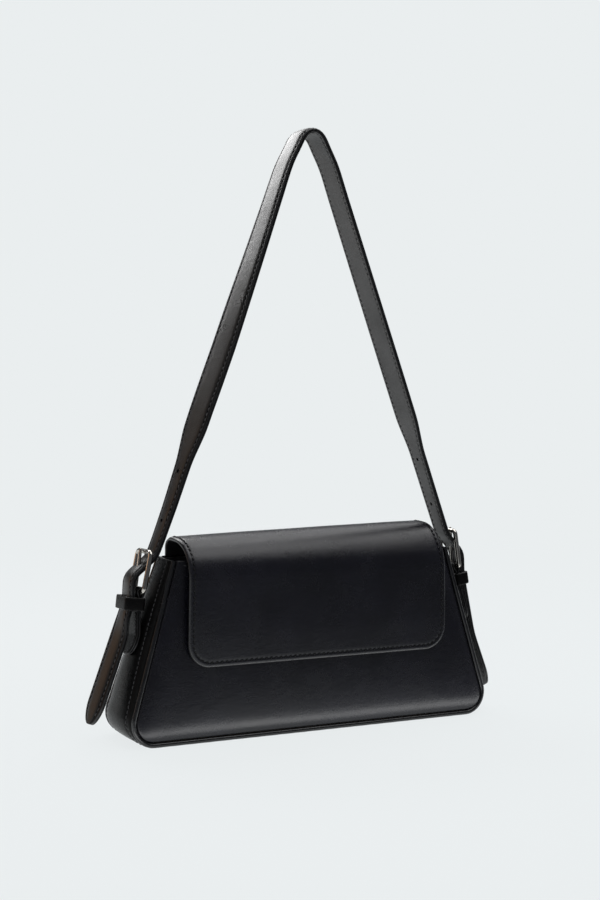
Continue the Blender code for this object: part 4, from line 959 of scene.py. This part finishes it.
def make_strap():
    """Padded outer leather and a flat lining, stitched 2 mm from both edges and painted along them."""
    route = strap_route()
    buckled = {side: route.distance_near(buckled_place(side)) for side in SIDES}
    apex = route.distance_near(Vector((0.0, APEX_HEIGHT)))
    tails = {}
    for side in SIDES:
        down, out = chape_axis(side)
        place = heel(side) + down * keeper_reach(side) + out * BESIDE_CHAPE
        tails[side] = route.distance_near(mirrored(side, place))

    def width_at(stop):
        from_tip = min(stop, route.total - stop)
        share = (min(stop - buckled["left"], buckled["right"] - stop) - TAPER_FROM_HOLE) / TAPER_LENGTH
        width = STRAP_NARROW + (STRAP_WIDE - STRAP_NARROW) * eased(share)
        if from_tip < TIP_LENGTH:
            drop = min(1 - from_tip / TIP_LENGTH, 0.999)
            width = TIP_WIDTH + (width - TIP_WIDTH) * sqrt(1 - drop ** 1.6)
        return width

    def twist_at(stop):
        side = "left" if stop < apex else "right"
        past = (stop - buckled[side]) / (apex - buckled[side])
        if past > 0:
            return SIDES[side]["leg_twist"] * max(sin(pi * past ** TWIST_LOW), 0.0) ** TWIST_PEAK
        return SIDES[side]["tail_twist"] * eased((stop - tails[side]) * SIDES[side]["sign"] / TAIL_TWIST_RUN)

    def drawn_in(stop):
        """How far the worn strap lies inside its plain arch: beside the apex, and where it twists."""
        shoulder = read_table(SHOULDER, abs(stop - apex))
        if stop >= apex:
            return shoulder
        past = (stop - buckled["left"]) / (apex - buckled["left"])
        if past < 0:
            beside_hole = max(1 - (buckled["left"] - stop) / HOLE_DRAWN_RUN, 0.0)
            return TAIL_DRAWN * sin(twist_at(stop)) + HOLE_DRAWN * beside_hole
        return shoulder + read_table(DRAWN_IN, past)

    tip = [TIP_LENGTH * (k / TIP_STEPS) ** 2 for k in range(TIP_STEPS)]
    steps = ceil((route.total - 2 * TIP_LENGTH) / STRAP_STEP)
    stops = tip + [TIP_LENGTH + STRAP_STEP * k for k in range(steps)]
    stops += [route.total - d for d in reversed(tip)]
    back, seam = -STRAP_HALF, STRAP_LINING - STRAP_HALF
    low, inside, edge_top = seam + 0.00006, seam - 0.00006, seam + LAYER_GAP + STRAP_OUTER
    outer_rings, lining_rings = [], []
    lines = {(layer, hand): ([], []) for layer in ("outer", "lining") for hand in (-1, 1)}
    for stop in stops:
        place, along, twist = route.at(stop), route.direction(stop, 0.0015), twist_at(stop)
        flat, depth = Vector((-along.y, 0.0, along.x)), Vector((0.0, 1.0, 0.0))
        out = flat * cos(twist) - depth * sin(twist)
        across = flat * sin(twist) + depth * cos(twist)
        middle = Vector((place.x, 0.0, place.y)) - flat * drawn_in(stop)
        half = width_at(stop) / 2
        scale = min(1.0, half / (STRAP_NARROW / 2))

        face = [(a * scale - half, edge_top + b * (1 if b < 0 else scale)) for a, b in STRAP_EDGE]
        crown = edge_top + STRAP_CROWN * scale
        under = [(half - 0.0001 * scale, low + 0.0003), (half - 0.0004 * scale, low + 0.00005),
                 (half * 0.5, low)]
        section = face + [(half * s * 0.3, crown - 0.00003 * abs(s)) for s in (-1, 0, 1)] + turned(face)
        swell = waver((stop, 0, 0), 30, 0.00012, 21)
        outer_rings.append([POSE @ (middle + out * (z + (swell if z > edge_top else 0)) + across * y)
                            for y, z in section + under + turned(under)])
        face = [(a * scale - half, back + b) for a, b in LINING_EDGE]
        over = [(half - 0.0001 * scale, inside - 0.0002), (half - 0.0005 * scale, inside)]
        section = face + [(half * s * 0.2, back) for s in (-1, 1)] + turned(face) + over + turned(over)
        lining_rings.append([POSE @ (middle + out * z + across * y) for y, z in section])
        if min(stop, route.total - stop) > 0.004 and half > 0.0035:
            for (layer, hand), (path, normals) in lines.items():
                height, normal = (edge_top - 0.00005, out) if layer == "outer" else (back + 0.0001, -out)
                path.append(POSE @ (middle + out * height + across * hand * (half - STRAP_STITCH_INSET)))
                normals.append(POSE.to_3x3() @ normal)
    # The margins beyond the stitch lines take the darker copy of the strap leather, painted shade.
    outer = sweep("strap", outer_rings, [BELT, MARGIN_PAINTED_SHADE, PAINT], None, replaces=("strap_outer",),
                  slot="strap_leather", wear_of=lambda c: 0.3 if c in (1, 2, 22, 23) else 0.0,
                  zone_of=lambda c: 2 if c in (0, 1, 23, 24, 25, 29, 30) else int(c < 8 or 15 < c < 23))
    lining = sweep("strap_underside", lining_rings, [BELT_LINING, PAINT], None, replaces=("strap_lining",),
                   slot="strap_lining", zone_of=lambda c: 1 if c in (0, 1, 18, 19, 20, 22, 23) else 0,
                   wear_of=lambda c: 0.4 if c in (1, 2, 17, 18) else 0.0)
    for side in SIDES:
        punch(side, route, buckled[side], (outer, lining))
    for item in (outer, lining):
        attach(item, "strap")
    for (layer, hand), (path, normals) in lines.items():
        name = f"strap_{layer}_stitches_{'front' if hand < 0 else 'back'}"
        stitches(name, path, normals, "strap", pitch=COARSE_PITCH, radius=0.00034, length=0.0022)


def punch(side, route, buckled, items):
    """Round holes through both layers, and the slanted one that the prong goes through."""
    sign = SIDES[side]["sign"]
    across = Vector((0, 1, 0))
    for number in (0, 1, 2) if side == "left" else (-1, 0, 1, 2):
        distance = buckled - sign * HOLE_PITCH * number
        place, along = route.at(distance), route.direction(distance)
        axis, radius, reach = Vector((-along.y, 0.0, along.x)), HOLE_RADIUS * WORN_SHUT, HOLE_CUT
        if number == 0:
            start, end = prong_line(side)
            axis = Vector((sign * (end.x - start.x), 0.0, end.y - start.y)).normalized()
            radius, reach, place = PRONG_RADIUS + SEAT_GAP, PRONG_CUT, buckled_place(side)
        other, centre = axis.cross(across), Vector((place.x, 0, place.y))
        points = [POSE @ (centre + axis * reach * share + (across * c + other * s) * radius)
                  for share in (-0.5, 0.5) for c, s in circle(20)]
        cut(items, points, ring_faces(2, 20)[0] + [tuple(range(19, -1, -1)), tuple(range(20, 40))])


def rounded_rectangle(half_x, half_y, radius, steps=10, run=6):
    """Points round a rectangle, with arcs for its corners and each straight side in equal runs."""
    points = []
    for quarter, (x, y) in enumerate(((1, 1), (-1, 1), (-1, -1), (1, -1))):
        for k in range(steps + 1):
            turn = pi / 2 * (quarter + k / steps)
            points.append(Vector((x * (half_x - radius) + radius * cos(turn),
                                  y * (half_y - radius) + radius * sin(turn))))
    filled = []
    for p, ahead in zip(points, points[1:] + points[:1]):
        filled.append(p)
        if (ahead - p).length > radius:
            filled += [p.lerp(ahead, k / run) for k in range(1, run)]
    return filled


def make_buckle(side):
    """The wire frame, and the prong: a loop round the heel bar joined to a tapered tongue."""
    pin, bar = heel(side), top_bar(side)
    along, middle = (bar - pin).normalized(), (bar + pin) / 2
    loop = rounded_rectangle(BUCKLE_LENGTH / 2, BUCKLE_INNER / 2 + BAR_RADIUS, BUCKLE_CORNER)
    centres = [lift(side, middle + along * p.x, p.y) for p in loop]
    normal = (lift(side, middle + Vector((along.y, -along.x))) - lift(side, middle)).normalized()
    rings = []
    for before, centre, after in zip(centres[-1:] + centres, centres, centres[1:] + centres[:1]):
        across = normal.cross(after - before).normalized()
        rings.append([centre + (normal * c + across * s) * BAR_RADIUS for c, s in circle(20)])
    sweep(f"buckle_{side}", rings, [METAL], "strap", loop=True, replaces=(f"buckle_frame_{side}",),
          slot="metal")

    inner, half, edge = BAR_RADIUS + SEAT_GAP, LOOP_WIDTH / 2, 0.00025
    outer = inner + LOOP_THICKNESS
    face = [(-half + edge, inner), (-half, inner + edge), (-half, outer - edge), (-half + edge, outer)]
    rings = [[lift(side, pin + Vector(out) * r, y) for y, r in face + turned(face)] for out in circle(36)]
    item = sweep(f"prong_{side}_loop", rings, [METAL], None, loop=True, replaces=(f"prong_{side}",),
                 slot="metal")
    start, end = prong_line(side)
    length = (end - start).length
    direction = (end - start).normalized()
    across = Vector((direction.y, -direction.x)) * PRONG_RADIUS
    rings = []
    for reach, size in ((inner + 0.0006, 1.0), (inner + 0.0016, 1.0), (length * 0.4, 1.0),
                        (length * 0.7, 0.98), (length - 0.004, 0.95), (length - 0.002, 0.88),
                        (length - 0.0008, 0.72), (length - 0.0002, 0.5), (length, 0.25)):
        rings.append([lift(side, start + direction * reach + across * size * c, PRONG_RADIUS * size * s)
                      for c, s in circle(18)])
    combine([item], sweep(f"prong_{side}_tongue", rings, [METAL], None, slot="metal"), "UNION")
    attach(item, "strap")


def chape_spread(length):
    """How far each layer's middle lies from the tab's middle: wide at the heel bar, then side by side."""
    wrap = BAR_RADIUS + SEAT_GAP + CHAPE_THICKNESS / 2
    apart = (SEAT_GAP + CHAPE_THICKNESS) / 2
    return apart + (wrap - apart) * eased(1 - length / CHAPE_JOIN)


def chape_line(side):
    """The middle of the tab's thickness, from its sewn end round the heel bar and down to the same end."""
    pin = heel(side)
    down, out = chape_axis(side)
    free = (chape_seat(pin.y - CHAPE_FREE) - pin).length

    def middle(length):
        return pin + down * length if length <= free else chape_seat(pin.y - CHAPE_FREE - (length - free))

    def layer(length, facing):
        along = (middle(length + 0.002) - middle(length - 0.002)).normalized()
        return middle(length) + Vector((-along.y, along.x)) * facing * chape_spread(length)

    runs = [CHAPE_LENGTH * k / 40 for k in range(1, 41)]
    arc = [(cos(pi * k / 16), sin(pi * k / 16)) for k in range(17)]
    return Route([layer(run, 1) for run in reversed(runs)]
                 + [pin + (out * c - down * s) * chape_spread(0.0) for c, s in arc]
                 + [layer(run, -1) for run in runs])


def make_chape(side):
    """A tab folded round the heel bar, slotted for the prong, with a stitched edge and a round sewn end."""
    route = chape_line(side)
    radius = CHAPE_END / 2
    corner = radius - 0.00001
    outer_run = (route.total - pi * chape_spread(0.0)) / 2
    widen_from = keeper_reach(side)

    def half_at(s):
        length = outer_run - s if s < outer_run else max(s - (route.total - outer_run), 0.0)
        share = clamped((length - widen_from) / (CHAPE_FREE - widen_from))
        half = (CHAPE_WIDTH + (CHAPE_END - CHAPE_WIDTH) * share) / 2
        into = s - (route.total - radius)
        if into > 0:
            half = min(half, sqrt(max(radius ** 2 - into ** 2, CHAPE_TIP ** 2)))
        return half

    def surface(x, s, depth):
        along = route.direction(s, 0.0006)
        return lift(side, route.at(s) + Vector((along.y, -along.x)) * (CHAPE_THICKNESS / 2 - depth), x)

    stops = steps_from(radius, CHAPE_STEP, route.total)
    rim = rim_of(CHAPE_THICKNESS, ((360, 0), (260, 0), (230, 3), (200, 20), (170, 3), (140, 0), (80, 4),
                                   (40, 14), (10, 40), (0, 70)),
                 ((0, 50), (12, 20), (40, 5), (90, 0), (360, 0)))
    item = tongue(f"tab_{side}", half_at, corner, stops, 12, rim, surface, [LOOP, PAINT, LOOP],
                  (f"chape_{side}",))
    down, out = chape_axis(side)
    corners = [lift(side, heel(side) + down * a + out * b * SLOT_REACH, y * SLOT_HALF)
               for a in (-SLOT_REACH, SLOT_END) for b, y in ((-1, -1), (-1, 1), (1, 1), (1, -1))]
    cut([item], corners, ring_faces(2, 4)[0] + [(0, 1, 2, 3), (4, 5, 6, 7)])
    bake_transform(item)
    sewn = [s for s in stops if s < outer_run - CHAPE_STITCH_END]
    path, normals = edge_line(half_at, corner, sewn, CHAPE_STITCH_INSET, surface, 0.00002)
    line = stitches(f"tab_{side}_stitches", path, normals, None, pitch=0.0024, length=0.0016, radius=0.00024)
    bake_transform(line)


def strap_face_beside(side, top, low):
    """How far the strap's outer face stands out from the tab's middle, from top to low under the heel bar."""
    down, out = chape_axis(side)
    pin, route = heel(side), strap_route()
    near = route.distance_near(mirrored(side, pin + down * (top + low) / 2 + out * BESIDE_CHAPE))
    far = 0.0
    for k in range(-30, 31):
        stop = near + (low - top) * k / 30
        along = route.direction(stop)
        beside = mirrored(side, route.at(stop) + Vector((-along.y, along.x)) * STRAP_HALF) - pin
        if top <= beside.dot(down) <= low:
            far = max(far, beside.dot(out))
    return far


def make_keeper(side):
    """A folded leather band with painted edges."""
    down, out = chape_axis(side)
    half, full = KEEPER_HEIGHT / 2, KEEPER_THICKNESS
    top_drop = SIDES[side]["keeper"] - half
    half_y = max(STRAP_NARROW, CHAPE_WIDTH) / 2 + KEEPER_ROOM
    into = max(KEEPER_CORNER - (half_y - CHAPE_WIDTH / 2), 0.0)
    near = -(chape_spread(top_drop) + CHAPE_THICKNESS / 2 + SEAT_GAP
             + KEEPER_CORNER - sqrt(KEEPER_CORNER ** 2 - into ** 2))
    far = strap_face_beside(side, top_drop, keeper_reach(side)) + KEEPER_ROOM
    middle = heel(side) + down * SIDES[side]["keeper"] + out * (far + near) / 2
    edge = [(-half, 0.0004)] + [(run - half, full - drop)
                                for run, drop in hundredths((0, 60), (20, 20), (60, 3), (100, 10), (140, 0))]
    section = edge + [(0.0, full)] + turned(edge) + [(half - 0.0003, 0.0), (0.0003 - half, 0.0)]
    loops = [rounded_rectangle((far - near) / 2 + g, half_y + g, KEEPER_CORNER + g, 8) for _, g in section]
    rings = [[lift(side, middle + out * p.x + down * height, p.y) for p, (height, _) in zip(points, section)]
             for points in zip(*loops)]
    sweep(f"loop_{side}", rings, [LOOP, PAINT], f"keeper_{side}", loop=True, replaces=(f"keeper_{side}",),
          zone_of=lambda c: 1 if c in (0, 1, 10, 11, 14) else 0,
          wear_of=lambda c: 0.5 if c in (2, 3, 9, 10) else 0.0)


make_panel("front_leather", -1, FRONT_CROWN, "front_panel")
make_panel("back_leather", 1, BACK_CROWN, "back_panel")
make_gusset()
make_piping("piping_front", -1, "front_piping")
make_piping("piping_back", 1, "back_piping")
make_lining()
make_pocket()
make_flap()
make_snap()
make_strap()
for hand in SIDES:
    make_buckle(hand)
    make_chape(hand)
    make_keeper(hand)
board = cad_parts["base_board"].data.materials
board.clear()
board.append(BOARD)


# Floor, light and camera

BACKGROUND = tuple(((v / 255 + 0.055) / 1.055) ** 2.4 for v in (234, 238, 239))
DIM_ROOM = (0.080, 0.084, 0.092)
SKY, SKY_STRENGTH = (0.92, 0.95, 1.0), 0.42
FLOOR_HALF, FLOOR_FRONT = 12.0, (0.46, -0.89, 0)


def make_floor():
    """Paper that the camera sees as evenly as the world. Reflections find it dimmer in front of the bag."""
    n = Nodes("floor_paper")
    for key, value in (("Base Color", (*BACKGROUND, 1)), ("Roughness", 0.95), ("Specular IOR Level", 0.1)):
        n.shader.inputs[key].default_value = value
    glow, dim = (n.add("Emission", {"Color": (*colour, 1)}).outputs[0]
                 for colour in (BACKGROUND, DIM_ROOM))
    away = n.add("VectorMath", {0: n.place}, operation="LENGTH").outputs["Value"]
    ahead = n.add("VectorMath", {0: n.place, 1: FLOOR_FRONT}, operation="DOT_PRODUCT")
    ahead = n.spread(ahead.outputs["Value"], 0.0, 1.0, 0.07, 0.28, interpolation_type="SMOOTHSTEP")
    paths = n.paths()
    shown = n.mixed(n.sums(ahead, paths["Is Glossy Ray"], "MULTIPLY"), glow, dim)
    seen = n.sums(paths["Is Camera Ray"], paths["Is Glossy Ray"], "MAXIMUM")
    seen = n.sums(seen, paths["Is Transmission Ray"], "MAXIMUM")
    plain = n.sums(seen, n.spread(away, 0.93, 1.0, 0.25, 0.9), "MULTIPLY")
    surface = n.mixed(plain, n.shader.outputs[0], shown)
    n.tree.links.new(surface, n.tree.nodes["Material Output"].inputs["Surface"])
    corners = [(x * FLOOR_HALF, y * FLOOR_HALF, 0) for x, y in ((-1, -1), (1, -1), (1, 1), (-1, 1))]
    mesh = bpy.data.meshes.new("floor")
    mesh.from_pydata(corners, [], [(0, 1, 2, 3)])
    mesh.materials.append(n.material)
    floor = new_object("floor", mesh)
    floor.location.z = -0.0002


def make_world():
    """A pale studio that the camera sees evenly. Reflections find it bright behind and dimmer in front."""
    world = bpy.data.worlds.new("studio")
    bpy.context.scene.world = world
    world.use_nodes = True
    n = Graph(world.node_tree)
    n.tree.nodes.clear()

    def background(colour, strength=1.0):
        return n.add("Background", {"Color": (*colour, 1), "Strength": strength}).outputs[0]

    parts = n.add("SeparateXYZ", {0: n.add("TexCoord").outputs["Generated"]}).outputs
    behind, low = (n.spread(parts[axis], 0.0, 1.0, start, end, interpolation_type="SMOOTHSTEP")
                   for axis, start, end in (("Y", -0.35, 0.45), ("Z", 0.09, -0.02)))
    room = n.mixed(n.sums(behind, low, "MULTIPLY"), background(DIM_ROOM), background(BACKGROUND))
    paths = n.paths()
    lit = n.mixed(paths["Is Glossy Ray"], background(SKY, SKY_STRENGTH), room)
    plain = n.sums(paths["Is Camera Ray"], paths["Is Transmission Ray"], "MAXIMUM")
    shown = n.mixed(plain, lit, background(BACKGROUND))
    n.tree.links.new(shown, n.add("OutputWorld").inputs["Surface"])


def soft_box(name, place, target, size, power, colour=(1, 1, 1)):
    data = bpy.data.lights.new(name, "AREA")
    data.shape, data.energy, data.color = "RECTANGLE", power, colour
    data.size, data.size_y = size
    lamp = new_object(name, data)
    lamp.location, lamp.visible_camera = place, False
    lamp.rotation_euler = (Vector(target) - Vector(place)).to_track_quat("-Z", "Y").to_euler()


def make_camera():
    """The fitted camera: its turn, its tip down and its roll in degrees, and where it stands."""
    yaw, pitch, roll = radians(29.0), radians(4.871), radians(1.709)
    forward = Vector((sin(yaw) * cos(pitch), cos(yaw) * cos(pitch), -sin(pitch)))
    level = Vector((cos(yaw), -sin(yaw), 0.0))
    above = level.cross(forward)
    right = level * cos(roll) + above * sin(roll)
    up = above * cos(roll) - level * sin(roll)
    data = bpy.data.cameras.new("camera")
    data.lens, data.sensor_width = 68.0, 36.0
    data.clip_start, data.clip_end = 0.05, 60.0
    camera = new_object("camera", data)
    turn = Matrix((right, up, -forward)).transposed().to_4x4()
    camera.matrix_world = Matrix.Translation((-0.5283, -0.9404, 0.2684)) @ turn
    bpy.context.scene.camera = camera


make_floor()
make_world()
soft_box("key_box", (0.42, -0.10, 1.52), (0, 0, 0.12), (1.6, 1.45), 15)
soft_box("top_box", (0.60, 0.85, 1.15), (0, 0, 0.12), (1.2, 1.2), 5)
soft_box("back_box", (-0.14, 0.62, 0.63), (0, 0, 0.36), (0.62, 0.26), 2.9)
soft_box("left_warm_box", (-0.62, 0.34, 0.24), (-0.14, 0, 0.04), (0.30, 0.30), 0.26, (1.0, 0.52, 0.22))
soft_box("table_glow", (0.04, -0.0345, 0.003), (0.04, -0.0345, 0.5), (0.36, 0.013), 0.030)
make_camera()
bpy.context.scene.view_settings.view_transform = "Standard"
